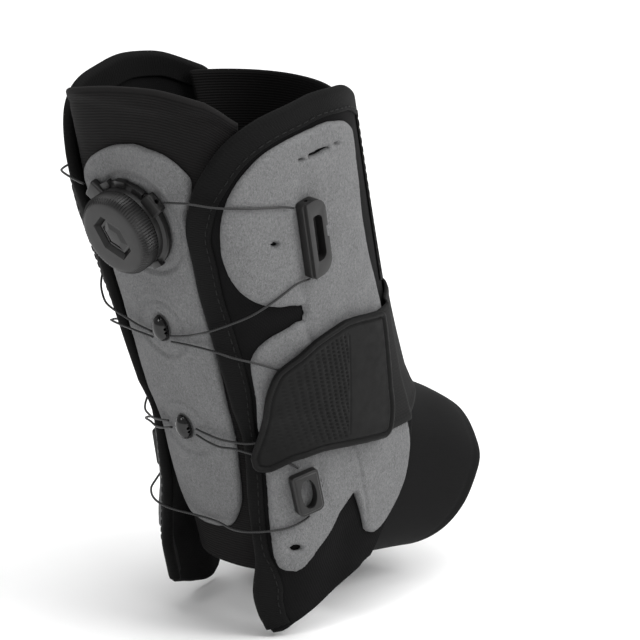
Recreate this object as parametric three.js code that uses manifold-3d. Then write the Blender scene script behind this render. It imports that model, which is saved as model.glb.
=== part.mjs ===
// Ankle brace with a rear dial and lace closure, laid out on the form of the ankle.
// +X points to the toes, -Y is the strap tab's side, +Z is up, and the origin is the ankle's centre.
import * as THREE from "three";
import { mergeVertices } from "three/addons/utils/BufferGeometryUtils.js";
import Module from "manifold-3d";

const wasm = await Module();
wasm.setup();

// Overall sizes, in millimetres
const RISE = 124; // top edge above the ankle's centre
const SOLE = 78; // sole below the ankle's centre
const DEPTH = 96; // scale of the leg's sections front to back
const WIDTH = 88; // scale of the leg's sections side to side

// Sheet thicknesses and clearances
const GAP = 0.3; // between pieces that touch
const LAY_GAP = 0.5; // between curved layers that lie on each other
const TONGUE = 2.5;
const REAR_PLATE = 2.2;
const FRONT_PANEL = 1.6;
const FOOT_WRAP = 2.5;
const SIDE_PANEL = 2.8;
const SIDE_PLATE = 1.8;
const STRAP = 1.5;
const TAB = 2.7;
const TAPE = 0.6; // binding tape
const TAPE_WIDTH = 9;
const TAPE_GAP = 0.3;
const TAPE_END = 0.3; // height share where the tape on the front edge ends

// Lace, guides and dial
const LACE = 1;
const STRAP_EASE = 0.2; // the strap over the plates
const LACE_CLEAR = 1.3; // diameter
const KNOB_DIAMETER = 32.5;
const KNOB_HEIGHT = 7.4;
const KNOB_DISH = 1.8; // depth of the dish in its face
const FLUTES = 20;
const FLUTE_DEPTH = 0.7;
const BASE_DIAMETER = 36;
const BASE_HEIGHT = 4.8;
const BASE_FLANGE = 1.6;
const PORT_LENGTH = 9; // lace port beside the dial
const PORT_HEIGHT = 4;
const PORT_ANGLE = 38; // of the ports above the dial's side, degrees
const PIN_DIAMETER = 6;
const PIN_LENGTH = 4.5;
const DIAL_GAP = 0.9; // under the flat base, over the curved plate
const TURN_GAP = 0.4; // between the knob and its base
const CAP_DIAMETER = 15;
const CAP_HEIGHT = 1.5;
const LOOP_WIDTH = 10.7; // upper side guide
const LOOP_HEIGHT = 31.5;
const LOOP_DEPTH = 4.6;
const EYE_WIDTH = 11.6; // lower side guide
const EYE_HEIGHT = 17.4;
const EYE_DEPTH = 3.8;
const EYE_CORNER = 2;
const BEAD_WIDTH = 7.5; // rear guide
const BEAD_HEIGHT = 11.5;
const BEAD_DEPTH = 3.8;

// Heights are shares of RISE above the ankle's centre and of SOLE below it.
const heightOf = (level) => level * (level > 0 ? RISE : SOLE);
const levelOf = (height) => height / (height > 0 ? RISE : SOLE);
const radians = THREE.MathUtils.degToRad;

// Leg and foot sections. back, wide and front are places along X as shares of DEPTH,
// half and far are the half widths on the two sides as shares of WIDTH, and heel and toe say how
// square each end is.
const SECTIONS = [
  { level: -1.22, back: -0.4, wide: 0.08, front: 0.79, half: 0.4, far: 0.39, heel: 2, toe: 3.6 },
  { level: -0.8, back: -0.47, wide: 0.05, front: 0.78, half: 0.392, far: 0.36, heel: 2.6, toe: 3.6 },
  { level: -0.51, back: -0.55, wide: 0, front: 0.62, half: 0.398, far: 0.345, heel: 3, toe: 3 },
  { level: -0.17, back: -0.646, wide: -0.1, front: 0.41, half: 0.42, far: 0.36, heel: 2.5, toe: 2.3 },
  { level: 0.25, back: -0.776, wide: -0.26, front: 0.195, half: 0.455, far: 0.385, heel: 3.6, toe: 2 },
  { level: 0.61, back: -0.911, wide: -0.406, front: 0.055, half: 0.494, far: 0.425, heel: 4.6, toe: 2 },
  { level: 0.81, back: -0.995, wide: -0.48, front: -0.015, half: 0.511, far: 0.445, heel: 3.6, toe: 2 },
  { level: 1, back: -1.062, wide: -0.552, front: -0.08, half: 0.528, far: 0.475, heel: 3, toe: 2 },
];

// Edges of the side panel: angles round the leg from the rear centre, by height.
const PANEL_REAR = [
  { level: -1.27, angle: 20 },
  { level: -1.2, angle: 17.8 },
  { level: -1.07, angle: 17.5 },
  { level: -0.95, angle: 19 },
  { level: -0.83, angle: 20.8 },
  { level: -0.5, angle: 21.8 },
  { level: -0.11, angle: 24.8 },
  { level: 0.11, angle: 25.9 },
  { level: 0.4, angle: 26.1 },
  { level: 0.52, angle: 27.3 },
  { level: 0.6, angle: 27.6 },
  { level: 0.66, angle: 29.4 },
];
const PANEL_FRONT = [
  { level: -0.95, angle: 72.5 },
  { level: -0.856, angle: 83 },
  { level: -0.709, angle: 100 },
  { level: -0.551, angle: 115 },
  { level: -0.376, angle: 122.6 },
  { level: -0.244, angle: 128.8 },
  { level: -0.115, angle: 129.8 },
  { level: 0, angle: 129.3 },
  { level: 0.2, angle: 133 },
  { level: 0.4, angle: 136 },
  { level: 1, angle: 136 },
];
// Top and bottom of the side panel, along from its rear edge to its front edge.
const PANEL_TOP = [
  { along: 0, level: 0.65 },
  { along: 0.03, level: 0.735 },
  { along: 0.077, level: 0.81 },
  { along: 0.14, level: 0.884 },
  { along: 0.217, level: 0.934 },
  { along: 0.304, level: 0.965 },
  { along: 0.43, level: 0.985 },
  { along: 0.589, level: 1.003 },
  { along: 0.78, level: 0.993 },
  { along: 0.85, level: 0.975 },
  { along: 0.925, level: 0.95 },
  { along: 1, level: 0.925 },
];
const PANEL_BOTTOM = [
  { along: 0, near: -1.28, far: -1.12 },
  { along: 0.05, near: -1.274, far: -1.15 },
  { along: 0.1, near: -1.262, far: -1.17 },
  { along: 0.2, near: -1.225, far: -1.2 },
  { along: 0.35, near: -1.165, far: -1.24 },
  { along: 0.567, near: -1.083, far: -1.27 },
  { along: 0.79, near: -1.014, far: -1.24 },
  { along: 0.93, near: -0.975, far: -1.12 },
  { along: 1, near: -0.95, far: -1 },
];

// How far the rear edge stands off the plate beside it, as shares of FLARE.
const FLARE = 10;
const FLARES = [
  { level: -1.27, near: 0.55, far: 0.95 },
  { level: -1.1, near: 0.8, far: 1.12 },
  { level: -0.95, near: 0.92, far: 1.08 },
  { level: -0.8, near: 0.95, far: 0.82 },
  { level: -0.51, near: 0.36, far: 0.2 },
  { level: -0.1, near: 0, far: 0 },
  { level: 0.5, near: 0, far: 0 },
];
const LIFT_SPAN = 36; // degrees over which the lift fades towards the side

// Grey side plate: its rear and front edges, by height.
const PLATE_REAR = [
  { level: -0.9, angle: 30 },
  { level: -0.886, angle: 27.8 },
  { level: -0.85, angle: 26.2 },
  { level: -0.78, angle: 25.5 },
  { level: -0.616, angle: 26.1 },
  { level: -0.481, angle: 27.1 },
  { level: -0.348, angle: 28.2 },
  { level: -0.104, angle: 30.5 },
  { level: 0.05, angle: 33.9 },
  { level: 0.149, angle: 35.2 },
  { level: 0.184, angle: 36 },
  { level: 0.227, angle: 39 },
  { level: 0.262, angle: 44 },
  { level: 0.29, angle: 52 },
  { level: 0.325, angle: 59 },
  { level: 0.352, angle: 58 },
  { level: 0.362, angle: 49 },
  { level: 0.38, angle: 43.6 },
  { level: 0.405, angle: 40.6 },
  { level: 0.436, angle: 38.7 },
  { level: 0.487, angle: 37.4 },
  { level: 0.537, angle: 37.2 },
  { level: 0.596, angle: 38 },
  { level: 0.653, angle: 39.2 },
  { level: 0.717, angle: 41.6 },
  { level: 0.769, angle: 44.9 },
  { level: 0.822, angle: 50.5 },
  { level: 0.859, angle: 56.7 },
  { level: 0.885, angle: 66 },
  { level: 0.904, angle: 79.2 },
  { level: 0.915, angle: 92 },
];
const PLATE_FRONT = [
  { level: -0.9, angle: 34 },
  { level: -0.876, angle: 42 },
  { level: -0.84, angle: 62 },
  { level: -0.806, angle: 74.4 },
  { level: -0.792, angle: 78.9 },
  { level: -0.733, angle: 89.6 },
  { level: -0.645, angle: 101.6 },
  { level: -0.562, angle: 109.1 },
  { level: -0.46, angle: 114.5 },
  { level: -0.38, angle: 117 },
  { level: -0.281, angle: 118.3 },
  { level: 0, angle: 117 },
  { level: 0.266, angle: 114.5 },
  { level: 0.329, angle: 112.7 },
  { level: 0.44, angle: 109.7 },
  { level: 0.563, angle: 108.2 },
  { level: 0.754, angle: 109.9 },
  { level: 0.857, angle: 110.6 },
  { level: 0.895, angle: 106 },
  { level: 0.915, angle: 95 },
];
// Cuts in the side plate, as corners in angle and height.
const PLATE_NOTCH = [
  { angle: 28, level: 0.302 },
  { angle: 57.6, level: 0.299 },
  { angle: 58.9, level: 0.354 },
  { angle: 28, level: 0.359 },
];
const PLATE_VEE = [
  { angle: 30.5, level: -0.97 },
  { angle: 30.8, level: -0.9 },
  { angle: 34.2, level: -0.876 },
  { angle: 40, level: -0.781 },
  { angle: 46.7, level: -0.704 },
  { angle: 51.9, level: -0.628 },
  { angle: 61.8, level: -0.545 },
  { angle: 63.2, level: -0.552 },
  { angle: 64, level: -0.593 },
  { angle: 65.8, level: -0.686 },
  { angle: 66.9, level: -0.769 },
  { angle: 69, level: -0.792 },
  { angle: 73.5, level: -0.808 },
  { angle: 80, level: -0.83 },
  { angle: 86, level: -0.97 },
];
const PLATE_SLIT = [
  { angle: 67.7, level: 0.818 },
  { angle: 82.5, level: 0.823 },
  { angle: 98.5, level: 0.844 },
  { angle: 82.5, level: 0.834 },
];

// Rear plate and tongue: angles from the rear centre to their two sides, by height.
const REAR_PLATE_EDGE = [
  { level: -0.745, near: 1, far: 9 },
  { level: -0.72, near: 7, far: 16 },
  { level: -0.64, near: 12.5, far: 19 },
  { level: -0.53, near: 16.6, far: 19.5 },
  { level: -0.3, near: 19.2, far: 20 },
  { level: -0.08, near: 21.5, far: 20.5 },
  { level: 0.12, near: 23.5, far: 22.5 },
  { level: 0.28, near: 24.4, far: 23.8 },
  { level: 0.5, near: 25.2, far: 25 },
  { level: 0.6, near: 25.6, far: 25.6 },
  { level: 0.66, near: 27, far: 26.8 },
  { level: 0.7, near: 29.2, far: 27.6 },
  { level: 0.735, near: 31, far: 26.6 },
  { level: 0.775, near: 31.6, far: 22.3 },
  { level: 0.815, near: 28.4, far: 14.5 },
  { level: 0.85, near: 22, far: 3.5 },
  { level: 0.866, near: 12, far: -6 },
];
const TONGUE_EDGE = [
  { level: -0.95, near: 24, far: 24 },
  { level: -0.5, near: 28, far: 28 },
  { level: 0, near: 34, far: 34 },
  { level: 0.5, near: 42, far: 42 },
  { level: 0.8, near: 47, far: 46 },
  { level: 1.04, near: 54, far: 50 },
];
// Tongue's top edge, by share of the way from its middle to its sides, the far side first.
const TONGUE_TOP = [
  { side: -1, level: 0.92 },
  { side: -0.75, level: 0.965 },
  { side: -0.45, level: 0.995 },
  { side: 0, level: 1.025 },
  { side: 0.4, level: 1.038 },
  { side: 0.76, level: 1.01 },
  { side: 1, level: 0.945 },
];
const TONGUE_ROLL = 1.5; // of its top edge outwards
const TONGUE_ROLL_FROM = 0.96;
const TONGUE_BOTTOM = -0.95;

// Front panel between the side panels
const FRONT_EDGE = 126; // angle of its sides
const FRONT_TOP = 0.93;
const FRONT_BOTTOM = 0.11;

// Foot wrap: its rear ring lies under the side panels, and its front ring is free.
// turn goes from the instep, 0, to the sole, 180. x is a share of DEPTH and side of WIDTH.
const WRAP_REAR = [
  { turn: 0, angle: 180, level: 0.075 },
  { turn: 25, angle: 155, level: 0.06 },
  { turn: 45, angle: 133, level: 0.01 },
  { turn: 62, angle: 119, level: -0.14 },
  { turn: 80, angle: 114, level: -0.33 },
  { turn: 98, angle: 104, level: -0.52 },
  { turn: 116, angle: 88, level: -0.69 },
  { turn: 134, angle: 70, level: -0.84 },
];
const WRAP_SOLE_REAR = -0.12; // rear edge under the sole
const WRAP_DROP = 3; // of the wrap below the sole
const WRAP_SINK = 1.2; // of its rear ring below the leg's skin
const WRAP_WAIST = 8;
const WRAP_MOUTH = [
  { turn: 0, x: 0.825, side: 0, level: -0.46 },
  { turn: 25, x: 0.79, side: 0.2, level: -0.49 },
  { turn: 50, x: 0.73, side: 0.35, level: -0.58 },
  { turn: 75, x: 0.69, side: 0.415, level: -0.7 },
  { turn: 100, x: 0.62, side: 0.41, level: -0.86 },
  { turn: 125, x: 0.51, side: 0.36, level: -1.01 },
  { turn: 152, x: 0.4, side: 0.22, level: -1.09 },
  { turn: 180, x: 0.35, side: 0, level: -1.1 },
];

// Ankle strap, from under its tab round the front to the far side. bed is the height of its inner
// face above the form, as a share of its height over the side plates: it steps down to the panels
// and then to the front panel.
const STRAP_EDGES = [
  { angle: 90, low: -0.25, high: 0.25, bed: 1 },
  { angle: 117, low: -0.245, high: 0.256, bed: 1 },
  { angle: 122, low: -0.23, high: 0.265, bed: 0.79 },
  { angle: 134, low: -0.16, high: 0.285, bed: 0.765 },
  { angle: 146, low: -0.08, high: 0.31, bed: 0.43 },
  { angle: 180, low: 0.06, high: 0.38, bed: 0.28 },
  { angle: 214, low: -0.08, high: 0.31, bed: 0.43 },
  { angle: 226, low: -0.16, high: 0.285, bed: 0.765 },
  { angle: 238, low: -0.23, high: 0.265, bed: 0.79 },
  { angle: 243, low: -0.245, high: 0.256, bed: 1 },
  { angle: 266, low: -0.25, high: 0.25, bed: 1 },
];
// Strap tab: its lower and upper edges, by angle.
const TAB_EDGES = [
  { angle: 25, low: -0.29, high: -0.235 },
  { angle: 26.5, low: -0.31, high: -0.2 },
  { angle: 29, low: -0.311, high: -0.138 },
  { angle: 33, low: -0.29, high: -0.036 },
  { angle: 37.5, low: -0.264, high: 0.081 },
  { angle: 42.5, low: -0.252, high: 0.157 },
  { angle: 50, low: -0.238, high: 0.2 },
  { angle: 58.3, low: -0.243, high: 0.239 },
  { angle: 68, low: -0.252, high: 0.261 },
  { angle: 79.3, low: -0.262, high: 0.275 },
  { angle: 88.2, low: -0.267, high: 0.274 },
  { angle: 94.6, low: -0.239, high: 0.27 },
  { angle: 100.7, low: -0.122, high: 0.266 },
  { angle: 104.1, low: 0.081, high: 0.262 },
  { angle: 106, low: 0.225, high: 0.255 },
];

// Places of the hard pieces, as angle and height
const DIAL = { angle: 0, level: 0.606 };
const BEADS = [
  { name: "rear_guide_upper", angle: 0, level: 0.25 },
  { name: "rear_guide_lower", angle: 0, level: -0.148 },
];
const LOOP = { angle: 68.3, level: 0.58, tilt: 15 };
const EYE = { angle: 38.3, level: -0.45, tilt: 12.5 };
const PIN_HOLES = [
  { angle: 52.4, level: 0.574, diameter: 1.8 },
  { angle: 31.7, level: -0.753, diameter: 2.6 },
];

// Lace runs on one side. lift is the height above the lace's bed on the side plate, and rows over
// the rear plate state bare instead, the height above that plate. loopFoot is the level at which a
// lace passes below the upper side guide.
const loopFoot = LOOP.level - (LOOP_HEIGHT / 2 + LACE_CLEAR) / RISE;
const LACE_RUNS = {
  lace_upper: [
    { angle: 22, level: 0.704, bare: 3.3 },
    { angle: 27.4, level: 0.713, bare: 4.2 },
    { angle: 32.7, level: 0.719, lift: 0.5 },
    { angle: 38.9, level: 0.711, lift: 0.3 },
    { angle: 44.7, level: 0.706, lift: 0.3 },
    { angle: 51.3, level: 0.7, lift: 0.4 },
    { angle: 57.6, level: 0.692, lift: 0.6 },
    { angle: 61.2, level: 0.683, lift: 1 },
  ],
  lace_second: [
    { angle: 62, level: loopFoot, lift: 1.2 },
    { angle: 56.4, level: loopFoot - 0.006, lift: 0.6 },
    { angle: 51.2, level: 0.414, lift: 0.4 },
    { angle: 44.2, level: 0.375, lift: 0.3 },
    { angle: 39, level: 0.345, lift: 0.3 },
    { angle: 30.1, level: 0.303, lift: 0.3 },
    { angle: 25.7, level: 0.284, lift: 0.3 },
    { angle: 18.7, level: 0.259, bare: 2.8 },
    { angle: 12, level: 0.243, bare: 2.3 },
    { angle: 5.4, level: 0.231, bare: 1.5 },
  ],
  lace_third: [
    { angle: 5.4, level: 0.212, bare: 1.5 },
    { angle: 13.8, level: 0.219, bare: 2.3 },
    { angle: 20.8, level: 0.22, bare: 2.8 },
    { angle: 27.1, level: 0.22, lift: 0.2 },
    { angle: 30.9, level: 0.207, lift: 0.3 },
    { angle: 37.1, level: 0.187, lift: 0.75 },
    { angle: 43.5, level: 0.155, lift: 0.75 },
    { angle: 50.6, level: 0.12, lift: 0.75 },
    { angle: 57, level: 0.04, lift: 0.75 },
    { angle: 57, level: -0.05, lift: 0.75 },
    { angle: 48, level: -0.11, lift: 0.75 },
    { angle: 36, level: -0.14, lift: 0.75 },
    { angle: 26.8, level: -0.168, lift: 0.5 },
    { angle: 20.7, level: -0.17, bare: 4 },
    { angle: 16.4, level: -0.165, bare: 3.3 },
    { angle: 13, level: -0.153, bare: 2.8 },
    { angle: 7.1, level: -0.137, bare: 1.8 },
  ],
  lace_fourth: [
    { angle: 6.3, level: -0.172, bare: 1.8 },
    { angle: 12.1, level: -0.199, bare: 2.8 },
    { angle: 16.4, level: -0.212, bare: 3.4 },
    { angle: 20.2, level: -0.208, bare: 4.2 },
    { angle: 25.4, level: -0.221, lift: 0.9 },
    { angle: 31, level: -0.25, lift: 0.9 },
    { angle: 35.8, level: -0.283, lift: 0.75 },
    { angle: 38.4, level: -0.318, lift: 0.6 },
  ],
};
// The last run goes from one lower side guide behind the heel to the other. This is half of it.
const LACE_HEEL = [
  { angle: 37.5, level: -0.578, lift: 1.2 },
  { angle: 35.5, level: -0.6, lift: 0.7 },
  { angle: 30.5, level: -0.629, lift: 0.4 },
  { angle: 26, level: -0.64, lift: 0.3 },
  { angle: 20.4, level: -0.655, bare: 11 },
  { angle: 15.5, level: -0.668, bare: 8.6 },
  { angle: 8, level: -0.682, bare: 3.6 },
  { angle: 0, level: -0.69, bare: 1.6 },
];

// Layers above the leg, inside and outside faces
const rearPlateIn = TONGUE + LAY_GAP;
const rearPlateOut = rearPlateIn + REAR_PLATE;
const panelIn = TONGUE + LAY_GAP + TAPE + 2 * TAPE_GAP;
const panelOut = panelIn + SIDE_PANEL;
const sidePlateIn = panelOut + LAY_GAP;
const sidePlateOut = sidePlateIn + SIDE_PLATE;
const laceBed = sidePlateOut + GAP + LACE / 2;
const strapIn = sidePlateOut + LAY_GAP + STRAP_EASE;
const tabIn = Math.max(strapIn + STRAP, laceBed + LACE) + GAP;
const tabOut = tabIn + TAB;

// A smooth curve through the rows of a table, that never swings past them.
function curve(rows, key, column) {
  const at = rows.map((row) => row[key]);
  const value = rows.map((row) => row[column]);
  const slope = at.slice(1).map((x, i) => (value[i + 1] - value[i]) / (x - at[i]));
  const tangent = at.map((x, i) => {
    if (i === 0) return slope[0];
    if (i === at.length - 1) return slope[i - 1];
    const product = slope[i - 1] * slope[i];
    return product > 0 ? (2 * product) / (slope[i - 1] + slope[i]) : 0;
  });
  return (x) => {
    if (x <= at[0]) return value[0];
    if (x >= at[at.length - 1]) return value[at.length - 1];
    const i = at.findIndex((edge) => x < edge) - 1;
    const span = at[i + 1] - at[i];
    const t = (x - at[i]) / span;
    const s = 1 - t;
    return (
      s * s * ((1 + 2 * t) * value[i] + t * span * tangent[i]) +
      t * t * ((1 + 2 * s) * value[i + 1] - s * span * tangent[i + 1])
    );
  };
}
const mix = THREE.MathUtils.lerp;
const smooth = (t) => THREE.MathUtils.smoothstep(t, 0, 1);

const section = Object.fromEntries(
  ["back", "wide", "front", "half", "far", "heel", "toe"].map((name) => [name, curve(SECTIONS, "level", name)]),
);

// A point off the leg's skin, at an angle from the rear centre towards -Y and at a height.
function onLeg(angle, height, off) {
  const level = levelOf(height);
  const rear = Math.cos(radians(angle)) > 0;
  const wide = section.wide(level) * DEPTH;
  const reach = rear ? wide - section.back(level) * DEPTH : section.front(level) * DEPTH - wide;
  const half = (Math.sin(radians(angle)) > 0 ? section.half(level) : section.far(level)) * WIDTH;
  const power = rear ? section.heel(level) : section.toe(level);
  const c = -Math.cos(radians(angle));
  const s = -Math.sin(radians(angle));
  const radius = ((Math.abs(c) / reach) ** power + (Math.abs(s) / half) ** power) ** (-1 / power);
  const normal = new THREE.Vector3(
    (Math.sign(c) * Math.abs((c * radius) / reach) ** (power - 1)) / reach,
    (Math.sign(s) * Math.abs((s * radius) / half) ** (power - 1)) / half,
    0,
  ).normalize();
  return new THREE.Vector3(wide + c * radius, s * radius, height).addScaledVector(normal, off);
}

const panelRear = curve(PANEL_REAR, "level", "angle");
const panelFront = curve(PANEL_FRONT, "level", "angle");
const flareShare = { near: curve(FLARES, "level", "near"), far: curve(FLARES, "level", "far") };

// How far the side layers are lifted over the tongue and rear plate.
function lift(angle, height) {
  const level = levelOf(height);
  const side = Math.abs(angle > 180 ? angle - 360 : angle);
  const away = (side - panelRear(level)) / LIFT_SPAN;
  const share = angle < 0 || angle > 180 ? flareShare.far : flareShare.near;
  return FLARE * share(level) * (1 - smooth(away));
}
const onSide = (angle, height, off) => onLeg(angle, height, off + lift(angle, height));

// Meshes
function meshOf(points, faces) {
  const geometry = new THREE.BufferGeometry();
  geometry.setAttribute("position", new THREE.Float32BufferAttribute(points.flatMap((p) => p.toArray()), 3));
  geometry.setIndex(faces.flat());
  let volume = 0;
  for (const [a, b, c] of faces) volume += points[a].dot(new THREE.Vector3().crossVectors(points[b], points[c]));
  if (volume < 0) geometry.setIndex(faces.flatMap(([a, b, c]) => [a, c, b]));
  return geometry;
}

// A wall between two faces of a grid: place(u, v, side) gives its points, side 0 inside, 1 outside.
function wall(us, vs, place) {
  const points = [];
  for (const side of [0, 1]) for (const v of vs) for (const u of us) points.push(place(u, v, side));
  const n = us.length;
  const sheet = n * vs.length;
  const id = (i, j, side) => side * sheet + j * n + i;
  const faces = [];
  const quad = (a, b, c, d) => faces.push([a, b, c], [a, c, d]);
  for (let j = 0; j + 1 < vs.length; j++) {
    for (let i = 0; i + 1 < n; i++) {
      quad(id(i, j, 1), id(i + 1, j, 1), id(i + 1, j + 1, 1), id(i, j + 1, 1));
      quad(id(i, j, 0), id(i, j + 1, 0), id(i + 1, j + 1, 0), id(i + 1, j, 0));
    }
    quad(id(0, j, 0), id(0, j, 1), id(0, j + 1, 1), id(0, j + 1, 0));
    quad(id(n - 1, j + 1, 0), id(n - 1, j + 1, 1), id(n - 1, j, 1), id(n - 1, j, 0));
  }
  const last = vs.length - 1;
  for (let i = 0; i + 1 < n; i++) {
    quad(id(i + 1, 0, 0), id(i + 1, 0, 1), id(i, 0, 1), id(i, 0, 0));
    quad(id(i, last, 0), id(i, last, 1), id(i + 1, last, 1), id(i + 1, last, 0));
  }
  return meshOf(points, faces);
}

// Triangles that fill a flat outline, turning as its points do.
function fill(outline) {
  const turn = Math.sign(THREE.ShapeUtils.area(outline));
  return THREE.ShapeUtils.triangulateShape(outline, []).map(([a, b, c]) =>
    Math.sign(THREE.ShapeUtils.area([outline[a], outline[b], outline[c]])) === turn ? [a, b, c] : [a, c, b],
  );
}

// An outline carried through rings of points. It ends in caps filled as the flat outline is, or
// without one it closes on itself.
function sweep(rings, outline) {
  const n = rings[0].length;
  const faces = [];
  const last = rings.length - 1;
  for (let k = 0; k < (outline ? last : last + 1); k++) {
    const next = ((k + 1) % rings.length) * n;
    for (let i = 0; i < n; i++) {
      const j = (i + 1) % n;
      faces.push([k * n + i, k * n + j, next + j], [k * n + i, next + j, next + i]);
    }
  }
  if (outline) {
    for (const [a, b, c] of fill(outline)) faces.push([c, b, a], [a + last * n, b + last * n, c + last * n]);
  }
  return meshOf(rings.flat(), faces);
}

const steps = (count, from = 0, to = 1) => Array.from({ length: count + 1 }, (_, i) => mix(from, to, i / count));

const toSolid = (geometry) => {
  const bare = geometry.index ? geometry.toNonIndexed() : geometry.clone();
  const clean = new THREE.BufferGeometry().setAttribute("position", bare.getAttribute("position"));
  const merged = mergeVertices(clean, 1e-4);
  const { array } = merged.attributes.position;
  return new wasm.Manifold(
    new wasm.Mesh({ numProp: 3, vertProperties: array, triVerts: new Uint32Array(merged.index.array) }),
  );
};
const toGeometry = (solid) => {
  const mesh = solid.getMesh();
  const geometry = new THREE.BufferGeometry();
  geometry.setAttribute("position", new THREE.BufferAttribute(new Float32Array(mesh.vertProperties), 3));
  return geometry.setIndex(new THREE.BufferAttribute(mesh.triVerts, 1));
};
const joined = (...parts) => toGeometry(parts.map(toSolid).reduce((sum, part) => sum.add(part)));
const common = (one, other) => toGeometry(toSolid(one).intersect(toSolid(other)));
const cut = (body, ...tools) => toGeometry(tools.map(toSolid).reduce((left, tool) => left.subtract(tool), toSolid(body)));

// The same piece for the other side of the leg, before it is placed.
const flipped = (geometry) => {
  const flip = geometry.clone();
  const position = flip.getAttribute("position");
  for (let i = 0; i < position.count; i++) position.setX(i, -position.getX(i));
  const index = Array.from(flip.index.array);
  for (let i = 0; i < index.length; i += 3) [index[i + 1], index[i + 2]] = [index[i + 2], index[i + 1]];
  return flip.setIndex(index);
};

// The frame of a hard piece: its Z leaves the surface, its Y points up the leg.
function seat(place, angle, height, off, tilt = 0) {
  const origin = place(angle, height, off);
  const along = place(angle + 1, height, off).sub(place(angle - 1, height, off)).normalize();
  const up = place(angle, height + 1, off).sub(place(angle, height - 1, off)).normalize();
  const out = new THREE.Vector3().crossVectors(along, up).normalize();
  const frame = new THREE.Matrix4().makeBasis(along, new THREE.Vector3().crossVectors(out, along), out);
  return new THREE.Matrix4().setPosition(origin).multiply(frame).multiply(new THREE.Matrix4().makeRotationZ(radians(tilt)));
}

// Soft pieces
// A side's hand is 1 on the near side and -1 on the far side, where the angles count the other way.
const NEAR = { hand: 1, name: "near" };
const FAR = { hand: -1, name: "far" };

const PANEL_COLUMNS = 11;
const PANEL_ROWS = 13;
const columns = steps(PANEL_COLUMNS).map((t) => t ** 1.45); // closer together at the rear edge
const rows = steps(PANEL_ROWS);

// Angle and height of a place on a side panel, u from rear to front and v from bottom to top.
function panelGrid({ name }) {
  const topAt = curve(PANEL_TOP, "along", "level");
  const bottomAt = curve(PANEL_BOTTOM, "along", name);
  return (u, v) => {
    const height = mix(heightOf(bottomAt(u)), heightOf(topAt(u)), v);
    const level = levelOf(height);
    return [mix(panelRear(level), panelFront(level), u), height];
  };
}

// Arc length of one degree round the leg, on the panel's outer face.
const degree = (angle, height) => onLeg(angle, height, panelOut).distanceTo(onLeg(angle + 1, height, panelOut));

// A layer that follows the side panel's faces, grown past its edges by grow.
function layer(side, inner, outer, grow = 0) {
  const at = panelGrid(side);
  return wall(columns, rows, (u, v, face) => {
    const [angle, height] = at(u, v);
    const wider = (grow * ((u === 1) - (u === 0))) / degree(side.hand * angle, height);
    const taller = grow * ((v === 1) - (v === 0));
    return onSide(side.hand * (angle + wider), height + taller, face ? outer : inner);
  });
}
const sidePanel = (side) => layer(side, panelIn, panelOut);

// A prism through the layers that place lays out, from corners in angle and height.
function prism(place, corners, low, high) {
  const outline = corners.map(({ angle, level }) => new THREE.Vector2(angle, heightOf(level)));
  return sweep([low, high].map((off) => outline.map((p) => place(p.x, p.y, off))), outline);
}

// Tape folded over the panel's front, top and rear edges: a thin shell round the panel, kept
// where it lies in a band along those edges. It gives way to the side plate.
function binding(side) {
  const at = panelGrid(side);
  const bottomAt = curve(PANEL_BOTTOM, "along", side.name);
  const plateRear = curve(PLATE_REAR, "level", "angle");
  const tapeFrom = heightOf(TAPE_END);
  const path = [
    ...rows.map((v) => at(1, v)).filter(([, height]) => height > tapeFrom),
    ...columns.toReversed().slice(1).map((u) => at(u, 1)),
    ...rows.toReversed().slice(1).map((v) => at(0, v)),
  ];
  const floorAt = (angle, height) => {
    const level = levelOf(height);
    const along = (angle - panelRear(level)) / (panelFront(level) - panelRear(level));
    return heightOf(bottomAt(along));
  };
  const nose = TAPE_GAP + TAPE;
  const band = (width) => [
    [width, panelOut + 2 * nose],
    [-2 * nose, panelOut + 2 * nose],
    [-2 * nose, panelIn - 2 * nose],
    [width, panelIn - 2 * nose],
  ];
  const rings = path.map(([angle, height], i) => {
    const [a0, h0] = path[Math.max(i - 1, 0)];
    const [a1, h1] = path[Math.min(i + 1, path.length - 1)];
    const scale = degree(side.hand * angle, height);
    const run = new THREE.Vector2((a1 - a0) * scale, h1 - h0).normalize();
    const room = (plateRear(levelOf(height)) - angle) * scale - 3 * LAY_GAP;
    const width = run.y < -0.8 ? Math.min(TAPE_WIDTH, Math.max(room, nose)) : TAPE_WIDTH;
    return band(width).map(([d, off]) => {
      const turned = angle - (run.y * d) / scale;
      const raised = Math.max(height + run.x * d, floorAt(turned, height));
      return onSide(side.hand * turned, raised, off);
    });
  });
  const outline = band(TAPE_WIDTH).map(([d, off]) => new THREE.Vector2(d, off));
  const shell = cut(
    layer(side, panelIn - nose, panelOut + nose, nose),
    layer(side, panelIn - TAPE_GAP, panelOut + TAPE_GAP, TAPE_GAP),
  );
  return common(shell, sweep(rings, outline));
}

// A plate lies on a layer's faces and ends at the edges of its table, a row of them at each height.
function sidePlate(side) {
  const place = (angle, height, off) => onSide(side.hand * angle, height, off);
  const front = curve(PLATE_FRONT, "level", "angle");
  const block = wall(steps(6), PLATE_REAR, (u, { level, angle }, face) =>
    place(mix(angle, front(level), u), heightOf(level), face ? tabOut : panelIn),
  );
  const body = common(layer(side, sidePlateIn, sidePlateOut), block);
  const holes = PIN_HOLES.map(({ angle, level, diameter }) =>
    new THREE.CylinderGeometry(diameter / 2, diameter / 2, 4 * SIDE_PLATE, 8)
      .rotateX(Math.PI / 2)
      .applyMatrix4(seat(place, angle, heightOf(level), sidePlateOut)),
  );
  const cuts = [PLATE_NOTCH, PLATE_VEE, PLATE_SLIT].map((corners) => prism(place, corners, panelIn, 2 * tabOut));
  return cut(body, ...cuts, ...holes);
}

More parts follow.
